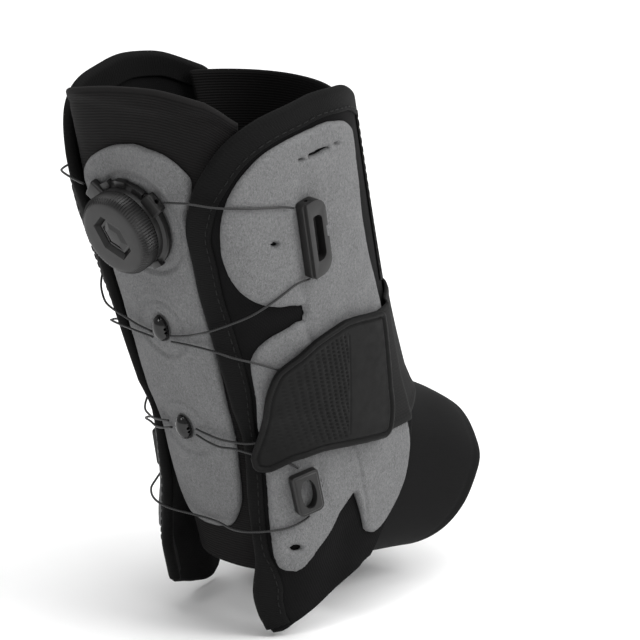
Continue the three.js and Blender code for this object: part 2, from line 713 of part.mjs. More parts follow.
// A layer that follows the tongue's faces.
function tongueLayer(inner, outer) {
  const near = curve(TONGUE_EDGE, "level", "near");
  const far = curve(TONGUE_EDGE, "level", "far");
  const top = curve(TONGUE_TOP, "side", "level");
  return wall(steps(12, -1, 1), steps(12), (u, v, face) => {
    const height = mix(heightOf(TONGUE_BOTTOM), heightOf(top(u)), v);
    const level = levelOf(height);
    const roll = TONGUE_ROLL * smooth((level - TONGUE_ROLL_FROM) / (1 - TONGUE_ROLL_FROM));
    const edge = u > 0 ? near : far;
    return onLeg(u * edge(level), height, roll + (face ? outer : inner));
  });
}
const tongue = () => tongueLayer(0, TONGUE);

function rearPlate() {
  const block = wall(steps(4), REAR_PLATE_EDGE, (u, { level, near, far }, face) =>
    onLeg(mix(-far, near, u), heightOf(level), face ? rearPlateOut + TONGUE : TONGUE),
  );
  return common(tongueLayer(rearPlateIn, rearPlateOut), block);
}

function frontPanel() {
  return wall(steps(6, FRONT_EDGE, 360 - FRONT_EDGE), steps(5), (angle, v, side) => {
    const height = mix(heightOf(FRONT_BOTTOM), heightOf(FRONT_TOP), v);
    return onLeg(angle, height, side ? FRONT_PANEL : 0);
  });
}

// The wrap is a tube of rings between its rear ring on the leg and its free mouth. Between them it
// draws in over the instep by WRAP_WAIST.
function footWrap() {
  const rearAngle = curve(WRAP_REAR, "turn", "angle");
  const rearLevel = curve(WRAP_REAR, "turn", "level");
  const mouthX = curve(WRAP_MOUTH, "turn", "x");
  const mouthSide = curve(WRAP_MOUTH, "turn", "side");
  const mouthLevel = curve(WRAP_MOUTH, "turn", "level");
  const lastTurn = WRAP_REAR[WRAP_REAR.length - 1].turn;
  const onRear = (turn, hand) => onLeg(hand * rearAngle(turn), heightOf(rearLevel(turn)), -WRAP_SINK);
  const rearPoint = (turn, hand) => {
    if (turn <= lastTurn) return onRear(turn, hand);
    const side = onRear(lastTurn, hand);
    const under = (turn - lastTurn) / (180 - lastTurn);
    const arc = (under * Math.PI) / 2;
    return new THREE.Vector3(
      mix(side.x, WRAP_SOLE_REAR * DEPTH, smooth(under)),
      side.y * Math.cos(arc),
      mix(side.z, -SOLE - WRAP_DROP, Math.sin(arc)),
    );
  };
  const mouthPoint = (turn, hand) =>
    new THREE.Vector3(mouthX(turn) * DEPTH, -hand * mouthSide(turn) * WIDTH, heightOf(mouthLevel(turn)));
  const line = steps(22, 0, 360).slice(0, -1).map((turn) => {
    const half = Math.min(turn, 360 - turn);
    const hand = turn <= 180 ? 1 : -1;
    return [rearPoint(half, hand), mouthPoint(half, hand)];
  });
  const inner = steps(4).map((t) =>
    line.map(([rear, mouth]) => {
      const p = rear.clone().lerp(mouth, t);
      const draw = WRAP_WAIST * Math.sin(Math.PI * t) * Math.max(0, 1 - p.z / heightOf(-0.6));
      return p.add(new THREE.Vector3(-draw, 0, -draw));
    }),
  );
  const middle = new THREE.Vector3(0, 0, heightOf(-0.45));
  const outer = inner.map((ring, k) =>
    ring.map((p, i) => {
      const round = ring[(i + 1) % ring.length].clone().sub(ring[(i + ring.length - 1) % ring.length]);
      const ahead = inner[Math.min(k + 1, inner.length - 1)][i].clone().sub(inner[Math.max(k - 1, 0)][i]);
      const out = round.cross(ahead).normalize();
      if (out.dot(p.clone().sub(middle.setX(p.x))) < 0) out.negate();
      if (k === 0) out.setX(0).normalize();
      return p.clone().addScaledVector(out, FOOT_WRAP);
    }),
  );
  return sweep([...inner, ...outer.toReversed()]);
}

function ankleStrap() {
  const low = curve(STRAP_EDGES, "angle", "low");
  const high = curve(STRAP_EDGES, "angle", "high");
  const bed = curve(STRAP_EDGES, "angle", "bed");
  const first = STRAP_EDGES[0].angle;
  const last = STRAP_EDGES[STRAP_EDGES.length - 1].angle;
  return wall(steps(28, first, last), steps(2), (angle, v, side) => {
    const height = mix(heightOf(low(angle)), heightOf(high(angle)), v);
    return onSide(angle, height, bed(angle) * strapIn + (side ? STRAP : 0));
  });
}

function strapTab() {
  const low = curve(TAB_EDGES, "angle", "low");
  const high = curve(TAB_EDGES, "angle", "high");
  const first = TAB_EDGES[0].angle;
  const last = TAB_EDGES[TAB_EDGES.length - 1].angle;
  return wall(steps(14, first, last), steps(4), (angle, v, side) => {
    const height = mix(heightOf(low(angle)), heightOf(high(angle)), v);
    return onSide(angle, height, side ? tabOut : tabIn);
  });
}

// Hard pieces
const dialSeat = seat(onLeg, DIAL.angle, heightOf(DIAL.level), rearPlateOut + DIAL_GAP);

function dialBase() {
  const r = BASE_DIAMETER / 2;
  const neck = KNOB_DIAMETER / 2 - 1.5;
  const profile = [
    [0, 0], [r, 0], [r, BASE_FLANGE], [neck + 1, BASE_FLANGE + 1.2], [neck, BASE_HEIGHT],
    [PIN_DIAMETER / 2, BASE_HEIGHT], [PIN_DIAMETER / 2, BASE_HEIGHT + PIN_LENGTH], [0, BASE_HEIGHT + PIN_LENGTH],
  ].map(([x, y]) => new THREE.Vector2(x, y));
  const body = new THREE.LatheGeometry(profile, 28).rotateX(Math.PI / 2);
  const ports = [1, -1].map((side) => {
    const angle = side > 0 ? radians(PORT_ANGLE) : Math.PI - radians(PORT_ANGLE);
    return new THREE.BoxGeometry(PORT_LENGTH, PORT_LENGTH, PORT_HEIGHT)
      .translate(r - PORT_LENGTH / 4, 0, PORT_HEIGHT / 2)
      .rotateZ(angle);
  });
  return joined(body, ...ports);
}

function dialKnob() {
  const r = KNOB_DIAMETER / 2;
  const bore = PIN_DIAMETER / 2 + TURN_GAP;
  const dish = r * 0.66;
  const profile = [
    [0, PIN_LENGTH + TURN_GAP], [bore, PIN_LENGTH + TURN_GAP], [bore, 0], [r, 0], [r, KNOB_HEIGHT - 2.2],
    [r - 1.6, KNOB_HEIGHT - 0.5], [dish + 1, KNOB_HEIGHT], [dish, KNOB_HEIGHT - 0.4],
    [dish - 1, KNOB_HEIGHT - KNOB_DISH], [0, KNOB_HEIGHT - KNOB_DISH],
  ].map(([x, y]) => new THREE.Vector2(x, y));
  const knob = new THREE.LatheGeometry(profile, 2 * FLUTES).rotateX(Math.PI / 2);
  const position = knob.getAttribute("position");
  for (let i = 0; i < position.count; i++) {
    const [x, y, z] = [position.getX(i), position.getY(i), position.getZ(i)];
    const radius = Math.hypot(x, y);
    const tooth = Math.round((Math.atan2(y, x) / Math.PI) * FLUTES);
    if (radius < r - 0.01 || tooth % 2 === 0) continue;
    position.setXYZ(i, (x * (radius - FLUTE_DEPTH)) / radius, (y * (radius - FLUTE_DEPTH)) / radius, z);
  }
  return toGeometry(toSolid(knob));
}

function knobCap() {
  const cap = new THREE.CylinderGeometry(CAP_DIAMETER / 2 - 1.6, CAP_DIAMETER / 2, CAP_HEIGHT, 6);
  return mergeVertices(new THREE.BufferGeometry().setAttribute("position", cap.toNonIndexed().getAttribute("position")))
    .rotateX(Math.PI / 2).translate(0, 0, CAP_HEIGHT / 2);
}

function roundedShape(width, height, left, right) {
  const [w, h] = [width / 2, height / 2];
  const shape = new THREE.Shape();
  shape.moveTo(-w + left, -h);
  shape.lineTo(w - right, -h);
  shape.absarc(w - right, -h + right, right, -Math.PI / 2, 0, false);
  shape.absarc(w - right, h - right, right, 0, Math.PI / 2, false);
  shape.lineTo(-w + left, h);
  shape.absarc(-w + left, h - left, left, Math.PI / 2, Math.PI, false);
  shape.absarc(-w + left, -h + left, left, Math.PI, Math.PI * 1.5, false);
  return shape;
}

// A plate of a shape, depth thick, with bevelled edges, standing on z = 0.
function block(shape, depth, bevel) {
  const settings = {
    depth: depth - 2 * bevel,
    bevelThickness: bevel,
    bevelSize: bevel,
    bevelOffset: -bevel,
    bevelSegments: 1,
    curveSegments: 3,
  };
  return new THREE.ExtrudeGeometry(shape, settings).translate(0, 0, bevel);
}

// Upper side guide: straight at the rear, round at the front, with a deep slot for the lace.
function loopGuide() {
  const body = block(roundedShape(LOOP_WIDTH, LOOP_HEIGHT, 1.6, LOOP_WIDTH * 0.45), LOOP_DEPTH, 1);
  const slot = block(roundedShape(LOOP_WIDTH * 0.4, LOOP_HEIGHT * 0.62, 1, LOOP_WIDTH * 0.18), LOOP_DEPTH, 0.2);
  return cut(body, slot.translate(LOOP_WIDTH * 0.05, 0, LOOP_DEPTH * 0.4));
}

// Lower side guide: a rounded plate with an oval eye.
function eyeGuide() {
  const body = block(roundedShape(EYE_WIDTH, EYE_HEIGHT, EYE_CORNER, EYE_CORNER), EYE_DEPTH, 0.9);
  const eye = new THREE.CylinderGeometry(1, 1, EYE_DEPTH * 3, 16).rotateX(Math.PI / 2);
  return cut(body, eye.scale(EYE_WIDTH * 0.29, EYE_HEIGHT * 0.37, 1));
}

// Rear guide: an oval bead that the laces run through.
function beadGuide() {
  const rim = steps(4).map((t) => new THREE.Vector2(Math.cos((t * Math.PI) / 2), Math.sin((t * Math.PI) / 2)));
  const profile = [new THREE.Vector2(0, 0), ...rim.slice(0, -1), new THREE.Vector2(0, 1)];
  return toGeometry(toSolid(new THREE.LatheGeometry(profile, 16).rotateX(Math.PI / 2)
    .scale(BEAD_WIDTH / 2, BEAD_HEIGHT / 2, BEAD_DEPTH)));
}

// A lace lies on the surface between its rows: x is the angle, y the height and z the offset.
const laceRow = ({ angle, level, lift: rise, bare }, hand) => {
  const height = heightOf(level);
  const off = bare === undefined ? laceBed + rise + lift(angle, height) : rearPlateOut + bare;
  return new THREE.Vector3(hand * angle, height, off);
};
const LACE_STEP = 7.5; // length of one straight piece of it

function lace(chart) {
  const line = new THREE.CatmullRomCurve3(chart, false, "centripetal");
  const points = line.getPoints(6 * chart.length).map((p) => onLeg(p.x, p.y, p.z));
  const route = new THREE.CatmullRomCurve3(points, false, "centripetal");
  const ring = new THREE.Shape();
  ring.absarc(0, 0, LACE / 2, 0, Math.PI * 2, false);
  const count = Math.round(route.getLength() / LACE_STEP);
  const tube = new THREE.ExtrudeGeometry(ring, { steps: count, extrudePath: route, curveSegments: 3 });
  return toGeometry(toSolid(tube));
}

// Materials
const material = (color, roughness, metalness = 0) => new THREE.MeshStandardMaterial({ color, roughness, metalness });
const neoprene = material(0x0d0d0e, 0.92);
const knit = material(0x131314, 0.9);
const elastic = material(0x1c1c1d, 0.8);
const tape = material(0x0a0a0a, 0.75);
const flock = material(0x6f7072, 0.97);
const rubber = material(0x2c2d2e, 0.62);
const plastic = material(0x0b0b0c, 0.38);
const gloss = material(0x070708, 0.15);
const cord = material(0x101011, 0.45);

// Assembly
const brace = new THREE.Group();
function add(name, geometry, finish, matrix) {
  const mesh = new THREE.Mesh(geometry, finish);
  mesh.name = name;
  if (matrix) mesh.applyMatrix4(matrix);
  brace.add(mesh);
}

for (const [name, side] of [["near", NEAR], ["far", FAR]]) {
  add("side_panel_" + name, sidePanel(side), neoprene);
  add("side_binding_" + name, binding(side), tape);
  add("side_plate_" + name, sidePlate(side), flock);
}
add("front_panel", frontPanel(), knit);
add("foot_wrap", footWrap(), elastic);
add("rear_tongue", tongue(), knit);
add("rear_plate", rearPlate(), flock);
add("ankle_strap", ankleStrap(), elastic);
add("strap_tab", strapTab(), rubber);

add("dial_base", dialBase(), plastic, dialSeat);
const knobSeat = dialSeat.clone().multiply(new THREE.Matrix4().makeTranslation(0, 0, BASE_HEIGHT + TURN_GAP));
add("dial_knob", dialKnob(), plastic, knobSeat);
const capSeat = knobSeat.clone().multiply(new THREE.Matrix4().makeTranslation(0, 0, KNOB_HEIGHT - KNOB_DISH + GAP));
add("knob_cap", knobCap(), gloss, capSeat);

for (const { name, angle, level } of BEADS) {
  add(name, beadGuide(), gloss, seat(onLeg, angle, heightOf(level), rearPlateOut + GAP));
}
for (const [name, { hand }] of [["near", NEAR], ["far", FAR]]) {
  const place = (guide, { angle, level, tilt }) => {
    const matrix = seat(onSide, hand * angle, heightOf(level), sidePlateOut + GAP, hand * tilt);
    return (hand > 0 ? guide : flipped(guide)).applyMatrix4(matrix);
  };
  add("side_guide_upper_" + name, place(loopGuide(), LOOP), plastic);
  add("side_guide_lower_" + name, place(eyeGuide(), EYE), plastic);
  for (const [run, points] of Object.entries(LACE_RUNS)) {
    add(run + "_" + name, lace(points.map((row) => laceRow(row, hand))), cord);
  }
}
const heelHalf = LACE_HEEL.map((row) => laceRow(row, 1));
const heelRest = heelHalf.slice(0, -1).map((p) => new THREE.Vector3(-p.x, p.y, p.z));
add("lace_heel", lace([...heelHalf, ...heelRest.toReversed()]), cord);

export default brace;
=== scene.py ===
"""Ankle brace with a rear dial and lace closure: its looks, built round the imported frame.

Soft pieces are laid out on the form of the ankle, by angle round it and by height. Tables and
sizes are in millimetres and shares of them, and meshes are made in metres.
"""
import logging
import math
from dataclasses import dataclass
from enum import Enum
from typing import Callable, NamedTuple, Optional, Sequence

import bpy
import numpy as np
from mathutils import Matrix, Vector


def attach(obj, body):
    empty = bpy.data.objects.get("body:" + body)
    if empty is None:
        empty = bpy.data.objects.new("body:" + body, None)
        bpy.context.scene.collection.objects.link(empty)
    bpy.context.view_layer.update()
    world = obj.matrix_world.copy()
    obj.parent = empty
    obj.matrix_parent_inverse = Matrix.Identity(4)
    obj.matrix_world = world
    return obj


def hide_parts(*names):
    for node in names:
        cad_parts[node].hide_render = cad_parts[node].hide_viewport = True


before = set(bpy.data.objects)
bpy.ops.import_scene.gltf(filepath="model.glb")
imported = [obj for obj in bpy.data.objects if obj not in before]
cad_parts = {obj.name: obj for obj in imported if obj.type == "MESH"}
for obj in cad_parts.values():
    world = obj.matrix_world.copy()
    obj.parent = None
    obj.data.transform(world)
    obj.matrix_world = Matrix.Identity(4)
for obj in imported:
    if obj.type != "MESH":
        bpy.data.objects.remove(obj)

log = logging.getLogger("ankle_brace")

MM = 0.001
# Top edge above the ankle's centre, sole below it, and the form's scales along X and Y
RISE, SOLE, DEPTH, WIDTH = 124.0, 78.0, 96.0, 88.0
# Between pieces that touch, between curved layers, and more of that under the strap
GAP, LAY_GAP, STRAP_EASE = 0.3, 0.5, 0.2
# Thicknesses
TONGUE, REAR_PLATE, FRONT_PANEL, FOOT_WRAP = 2.5, 2.2, 1.6, 2.5
SIDE_PANEL, SIDE_PLATE, STRAP, TAB, TAPE = 2.8, 1.8, 1.5, 2.7, 0.6
# The binding tape: its width, its gap to the panel and the level where it ends on the front edge
TAPE_WIDTH, TAPE_GAP, TAPE_END = 9.0, 0.3, 0.3
# The lace's diameter, and the room for it under the tab
LACE, LACE_ROOM = 0.9, 1.8
# Layers above the form, inside and outside faces
REAR_PLATE_OUT = TONGUE + LAY_GAP + REAR_PLATE
PANEL_IN = TONGUE + LAY_GAP + TAPE + 2 * TAPE_GAP
PANEL_OUT = PANEL_IN + SIDE_PANEL
PLATE_OUT = PANEL_OUT + LAY_GAP + SIDE_PLATE
LACE_BED = PLATE_OUT + GAP + LACE / 2
STRAP_IN = PLATE_OUT + LAY_GAP + STRAP_EASE
TAB_IN = max(STRAP_IN + STRAP, PLATE_OUT + GAP + LACE_ROOM) + GAP


class Section(NamedTuple):
    """A section of the form: places along X and half widths as shares, and how square it is."""

    level: float
    back: float
    wide: float
    front: float
    half: float
    far: float
    heel: float
    toe: float


SECTIONS = (
    Section(-1.22, -0.4, 0.08, 0.79, 0.4, 0.39, 2, 3.6),
    Section(-0.8, -0.47, 0.05, 0.78, 0.392, 0.36, 2.6, 3.6),
    Section(-0.51, -0.55, 0, 0.62, 0.398, 0.345, 3, 3),
    Section(-0.17, -0.646, -0.1, 0.41, 0.42, 0.36, 2.5, 2.3),
    Section(0.25, -0.776, -0.26, 0.195, 0.455, 0.385, 3.6, 2),
    Section(0.61, -0.911, -0.406, 0.055, 0.494, 0.425, 4.6, 2),
    Section(0.81, -0.995, -0.48, -0.015, 0.511, 0.445, 3.6, 2),
    Section(1, -1.062, -0.552, -0.08, 0.528, 0.475, 3, 2),
)


class Edge(NamedTuple):
    """A point of an edge that is told by its height."""

    level: float
    angle: float


class Rim(NamedTuple):
    """A point of a top or bottom edge, by its share of the way along."""

    along: float
    level: float


class Band(NamedTuple):
    """A station of a band: its lower and upper edges at an angle, and its bed's share."""

    angle: float
    low: float
    high: float
    bed: float = 1


# Edges of the side panels: their rear, front, top and the bottom of each
PANEL_REAR = (
    Edge(-1.27, 20), Edge(-1.2, 17.8), Edge(-1.07, 17.5), Edge(-0.95, 19), Edge(-0.83, 20.8),
    Edge(-0.5, 21.8), Edge(-0.11, 24.8), Edge(0.11, 25.9), Edge(0.4, 26.1), Edge(0.52, 27.3),
    Edge(0.6, 27.6), Edge(0.66, 29.4),
)
PANEL_FRONT = (
    Edge(-0.95, 72.5), Edge(-0.856, 83), Edge(-0.709, 100), Edge(-0.551, 115), Edge(-0.376, 122.6),
    Edge(-0.244, 128.8), Edge(-0.115, 129.8), Edge(0, 129.3), Edge(0.2, 133), Edge(0.4, 136),
    Edge(1, 136),
)
PANEL_TOP = (
    Rim(0, 0.65), Rim(0.03, 0.735), Rim(0.077, 0.81), Rim(0.14, 0.884), Rim(0.217, 0.934),
    Rim(0.304, 0.965), Rim(0.43, 0.985), Rim(0.589, 1.003), Rim(0.78, 0.993), Rim(0.85, 0.975),
    Rim(0.925, 0.95), Rim(1, 0.925),
)
PANEL_BOTTOM_NEAR = (
    Rim(0, -1.28), Rim(0.05, -1.274), Rim(0.1, -1.262), Rim(0.2, -1.225),
    Rim(0.35, -1.165), Rim(0.567, -1.083), Rim(0.79, -1.014), Rim(0.93, -0.975),
    Rim(1, -0.95),
)
PANEL_BOTTOM_FAR = (
    Rim(0, -1.12), Rim(0.05, -1.15), Rim(0.1, -1.17), Rim(0.2, -1.2),
    Rim(0.35, -1.24), Rim(0.567, -1.27), Rim(0.79, -1.24), Rim(0.93, -1.12),
    Rim(1, -1),
)
# How far the side layers stand off at the rear, and the degrees over which that fades
FLARE, LIFT_SPAN = 10.0, 36.0


class Sides(NamedTuple):
    """A value on each side at a level: an angle, or in FLARES a share of FLARE."""

    level: float
    near: float
    far: float


FLARES = (
    Sides(-1.27, 0.55, 0.95), Sides(-1.1, 0.8, 1.12), Sides(-0.95, 0.92, 1.08), Sides(-0.8, 0.95, 0.82),
    Sides(-0.51, 0.36, 0.2), Sides(-0.1, 0, 0), Sides(0.5, 0, 0),
)
# Outline and cuts of the side plates
PLATE_REAR = (
    Edge(-0.9, 30), Edge(-0.886, 27.8), Edge(-0.85, 26.2), Edge(-0.78, 25.5), Edge(-0.616, 26.1),
    Edge(-0.481, 27.1), Edge(-0.348, 28.2), Edge(-0.104, 30.5), Edge(0.05, 33.9), Edge(0.149, 35.2),
    Edge(0.184, 36), Edge(0.227, 39), Edge(0.262, 44), Edge(0.29, 52), Edge(0.325, 59),
    Edge(0.352, 58), Edge(0.362, 49), Edge(0.38, 43.6), Edge(0.405, 40.6), Edge(0.436, 38.7),
    Edge(0.487, 37.4), Edge(0.537, 37.2), Edge(0.596, 38), Edge(0.653, 39.2), Edge(0.717, 41.6),
    Edge(0.769, 44.9), Edge(0.822, 50.5), Edge(0.859, 56.7), Edge(0.885, 66), Edge(0.904, 79.2),
    Edge(0.915, 92),
)
PLATE_FRONT = (
    Edge(-0.9, 34), Edge(-0.876, 42), Edge(-0.84, 62), Edge(-0.806, 74.4), Edge(-0.792, 78.9),
    Edge(-0.733, 89.6), Edge(-0.645, 101.6), Edge(-0.562, 109.1), Edge(-0.46, 114.5), Edge(-0.38, 117),
    Edge(-0.281, 118.3), Edge(0, 117), Edge(0.266, 114.5), Edge(0.329, 112.7), Edge(0.44, 109.7),
    Edge(0.563, 108.2), Edge(0.754, 109.9), Edge(0.857, 110.6), Edge(0.895, 106), Edge(0.915, 95),
)
PLATE_NOTCH = (Edge(0.302, 28), Edge(0.299, 57.6), Edge(0.354, 58.9), Edge(0.359, 28))
PLATE_VEE = (
    Edge(-0.97, 30.5), Edge(-0.9, 30.8), Edge(-0.876, 34.2), Edge(-0.781, 40), Edge(-0.704, 46.7),
    Edge(-0.628, 51.9), Edge(-0.545, 61.8), Edge(-0.552, 63.2), Edge(-0.593, 64), Edge(-0.686, 65.8),
    Edge(-0.769, 66.9), Edge(-0.792, 69), Edge(-0.808, 73.5), Edge(-0.83, 80), Edge(-0.97, 86),
)
PLATE_SLIT = (Edge(0.818, 67.7), Edge(0.823, 82.5), Edge(0.844, 98.5), Edge(0.834, 82.5))
REAR_PLATE_EDGE = (
    Sides(-0.745, 1, 9), Sides(-0.72, 7, 16), Sides(-0.64, 12.5, 19), Sides(-0.53, 16.6, 19.5),
    Sides(-0.3, 19.2, 20), Sides(-0.08, 21.5, 20.5), Sides(0.12, 23.5, 22.5), Sides(0.28, 24.4, 23.8),
    Sides(0.5, 25.2, 25), Sides(0.6, 25.6, 25.6), Sides(0.66, 27, 26.8), Sides(0.7, 29.2, 27.6),
    Sides(0.735, 31, 26.6), Sides(0.775, 31.6, 22.3), Sides(0.815, 28.4, 14.5), Sides(0.85, 22, 3.5),
    Sides(0.866, 12, -6),
)
TONGUE_EDGE = (
    Sides(-0.95, 24, 24), Sides(-0.5, 28, 28), Sides(0, 34, 34), Sides(0.5, 42, 42),
    Sides(0.8, 47, 46), Sides(1.04, 54, 50),
)
TONGUE_TOP = (
    Rim(-1, 0.92), Rim(-0.75, 0.965), Rim(-0.45, 0.995), Rim(0, 1.025), Rim(0.4, 1.038),
    Rim(0.76, 1.01), Rim(1, 0.945),
)
# The roll of its top edge outwards, the level where that starts, and its lower end
TONGUE_ROLL, TONGUE_ROLL_FROM, TONGUE_BOTTOM = 1.5, 0.96, -0.95
# The front panel: the angle of its sides, and the levels of its ends
FRONT_EDGE, FRONT_TOP, FRONT_BOTTOM = 126.0, 0.93, 0.11
STRAP_EDGES = (
    Band(90, -0.25, 0.25, 1), Band(117, -0.245, 0.256, 1), Band(122, -0.23, 0.265, 0.79),
    Band(134, -0.16, 0.285, 0.765), Band(146, -0.08, 0.31, 0.43), Band(180, 0.06, 0.38, 0.28),
    Band(214, -0.08, 0.31, 0.43), Band(226, -0.16, 0.285, 0.765), Band(238, -0.23, 0.265, 0.79),
    Band(243, -0.245, 0.256, 1), Band(266, -0.25, 0.25, 1),
)
TAB_EDGES = (
    Band(25, -0.29, -0.235), Band(26.5, -0.31, -0.2), Band(29, -0.311, -0.138), Band(33, -0.29, -0.036),
    Band(37.5, -0.264, 0.081), Band(42.5, -0.252, 0.157), Band(50, -0.238, 0.2), Band(58.3, -0.243, 0.239),
    Band(68, -0.252, 0.261), Band(79.3, -0.262, 0.275), Band(88.2, -0.267, 0.274), Band(94.6, -0.239, 0.27),
    Band(100.7, -0.122, 0.266), Band(104.1, 0.081, 0.262), Band(106, 0.225, 0.255),
)


class WrapRear(NamedTuple):
    """A point of the wrap's rear ring."""

    turn: float
    angle: float
    level: float


class WrapMouth(NamedTuple):
    """A point of the wrap's mouth: x a share of DEPTH and side of WIDTH."""

    turn: float
    x: float
    side: float
    level: float


WRAP_REAR = (
    WrapRear(0, 180, 0.075), WrapRear(25, 155, 0.06), WrapRear(45, 133, 0.01),
    WrapRear(62, 119, -0.14), WrapRear(80, 114, -0.33), WrapRear(98, 104, -0.52),
    WrapRear(116, 88, -0.69), WrapRear(134, 70, -0.84),
)
WRAP_MOUTH = (
    WrapMouth(0, 0.825, 0, -0.46), WrapMouth(25, 0.79, 0.2, -0.49), WrapMouth(50, 0.73, 0.35, -0.58),
    WrapMouth(75, 0.69, 0.415, -0.7), WrapMouth(100, 0.62, 0.41, -0.86), WrapMouth(125, 0.51, 0.36, -1.01),
    WrapMouth(152, 0.4, 0.22, -1.09), WrapMouth(180, 0.35, 0, -1.1),
)
# The wrap's rear edge under the sole as a share of DEPTH, its drop below the sole, how far its rear
# ring is drawn into the form, and how far it is drawn in over the instep
WRAP_SOLE_REAR, WRAP_DROP, WRAP_SINK, WRAP_WAIST = -0.12, 3.0, 1.2, 8.0


class Lay(NamedTuple):
    """A point that a lace passes: lift is above its bed at the side, bare above the rear plate."""

    angle: float
    level: float
    lift: float = 0
    bare: Optional[float] = None


LACE_RUNS = {
    "lace_upper": (
        Lay(22, 0.704, bare=3.3), Lay(27.4, 0.713, bare=4.2), Lay(32.7, 0.719, 0.5),
        Lay(38.9, 0.711, 0.3),
        Lay(44.7, 0.706, 0.3), Lay(51.3, 0.7, 0.4), Lay(57.6, 0.692, 0.6), Lay(61.2, 0.683, 1),
    ),
    "lace_second": (
        Lay(62, 0.4425, 1.2), Lay(56.4, 0.4365, 0.6), Lay(51.2, 0.414, 0.4), Lay(44.2, 0.375, 0.3),
        Lay(39, 0.345, 0.3), Lay(30.1, 0.303, 0.3), Lay(25.7, 0.284, 0.3), Lay(18.7, 0.259, bare=2.8),
        Lay(12, 0.243, bare=2.3), Lay(5.4, 0.231, bare=1.5),
    ),
    "lace_third": (
        Lay(5.4, 0.212, bare=1.5), Lay(13.8, 0.219, bare=2.3), Lay(20.8, 0.22, bare=2.8),
        Lay(27.1, 0.22, 0.2),
        Lay(30.9, 0.207, 0.3), Lay(37.1, 0.187, 0.75), Lay(43.5, 0.155, 0.75), Lay(50.6, 0.12, 0.75),
        Lay(57, 0.04, 0.75), Lay(57, -0.05, 0.75), Lay(48, -0.11, 0.75), Lay(36, -0.14, 0.75),
        Lay(26.8, -0.168, 0.5), Lay(20.7, -0.17, bare=4), Lay(16.4, -0.165, bare=3.3),
        Lay(13, -0.153, bare=2.8),
        Lay(7.1, -0.137, bare=1.8),
    ),
    "lace_fourth": (
        Lay(6.3, -0.172, bare=1.8), Lay(12.1, -0.199, bare=2.8), Lay(16.4, -0.212, bare=3.4),
        Lay(20.2, -0.208, bare=4.2),
        Lay(25.4, -0.221, 0.9), Lay(31, -0.25, 0.9), Lay(35.8, -0.283, 0.75), Lay(38.4, -0.318, 0.6),
    ),
}
LACE_HEEL = (
    Lay(37.5, -0.578, 1.2), Lay(35.5, -0.6, 0.7), Lay(30.5, -0.629, 0.4), Lay(26, -0.64, 0.3),
    Lay(20.4, -0.655, bare=11), Lay(15.5, -0.668, bare=8.6), Lay(8, -0.682, bare=3.6),
    Lay(0, -0.69, bare=1.6),
)


class Curve:
    """A smooth curve through a table's rows, that never swings past them."""

    def __init__(self, rows: Sequence[NamedTuple], key: str, column: str) -> None:
        """Takes the rows' key column as the way along and another column as the value.

        Args:
            rows: The table.
            key: Name of the column that grows along the curve.
            column: Name of the column that it gives.
        """
        self.at = np.array([getattr(row, key) for row in rows], float)
        self.value = np.array([getattr(row, column) for row in rows], float)
        slope = np.diff(self.value) / np.diff(self.at)
        inner = slope[:-1] * slope[1:]
        total = slope[:-1] + slope[1:]
        middle = np.where(inner > 0, 2 * inner / np.where(total == 0, 1, total), 0)
        self.tangent = np.concatenate([slope[:1], middle, slope[-1:]])

    def __call__(self, x: np.ndarray) -> np.ndarray:
        """Gives the curve's value.

        Args:
            x: Places along it.

        Returns:
            The values there.
        """
        i = np.clip(np.searchsorted(self.at, x, side="right") - 1, 0, len(self.at) - 2)
        span = self.at[i + 1] - self.at[i]
        t = np.clip((x - self.at[i]) / span, 0, 1)
        s = 1 - t
        first = s * s * ((1 + 2 * t) * self.value[i] + t * span * self.tangent[i])
        return first + t * t * ((1 + 2 * s) * self.value[i + 1] - s * span * self.tangent[i + 1])


def height_of(level: np.ndarray) -> np.ndarray:
    """Turns a level into a height in millimetres."""
    level = np.asarray(level, float)
    return level * np.where(level > 0, RISE, SOLE)


def level_of(height: np.ndarray) -> np.ndarray:
    """Turns a height in millimetres into a level."""
    height = np.asarray(height, float)
    return height / np.where(height > 0, RISE, SOLE)


def smooth(t: np.ndarray) -> np.ndarray:
    """Eases from 0 to 1, flat at both ends."""
    t = np.clip(t, 0, 1)
    return t * t * (3 - 2 * t)


def blurred(values: np.ndarray, reach: int) -> np.ndarray:
    """Averages each value with its neighbours up to a reach on both sides."""
    count = 2 * reach + 1
    return np.convolve(np.pad(values, reach, mode="edge"), np.ones(count) / count, "valid")


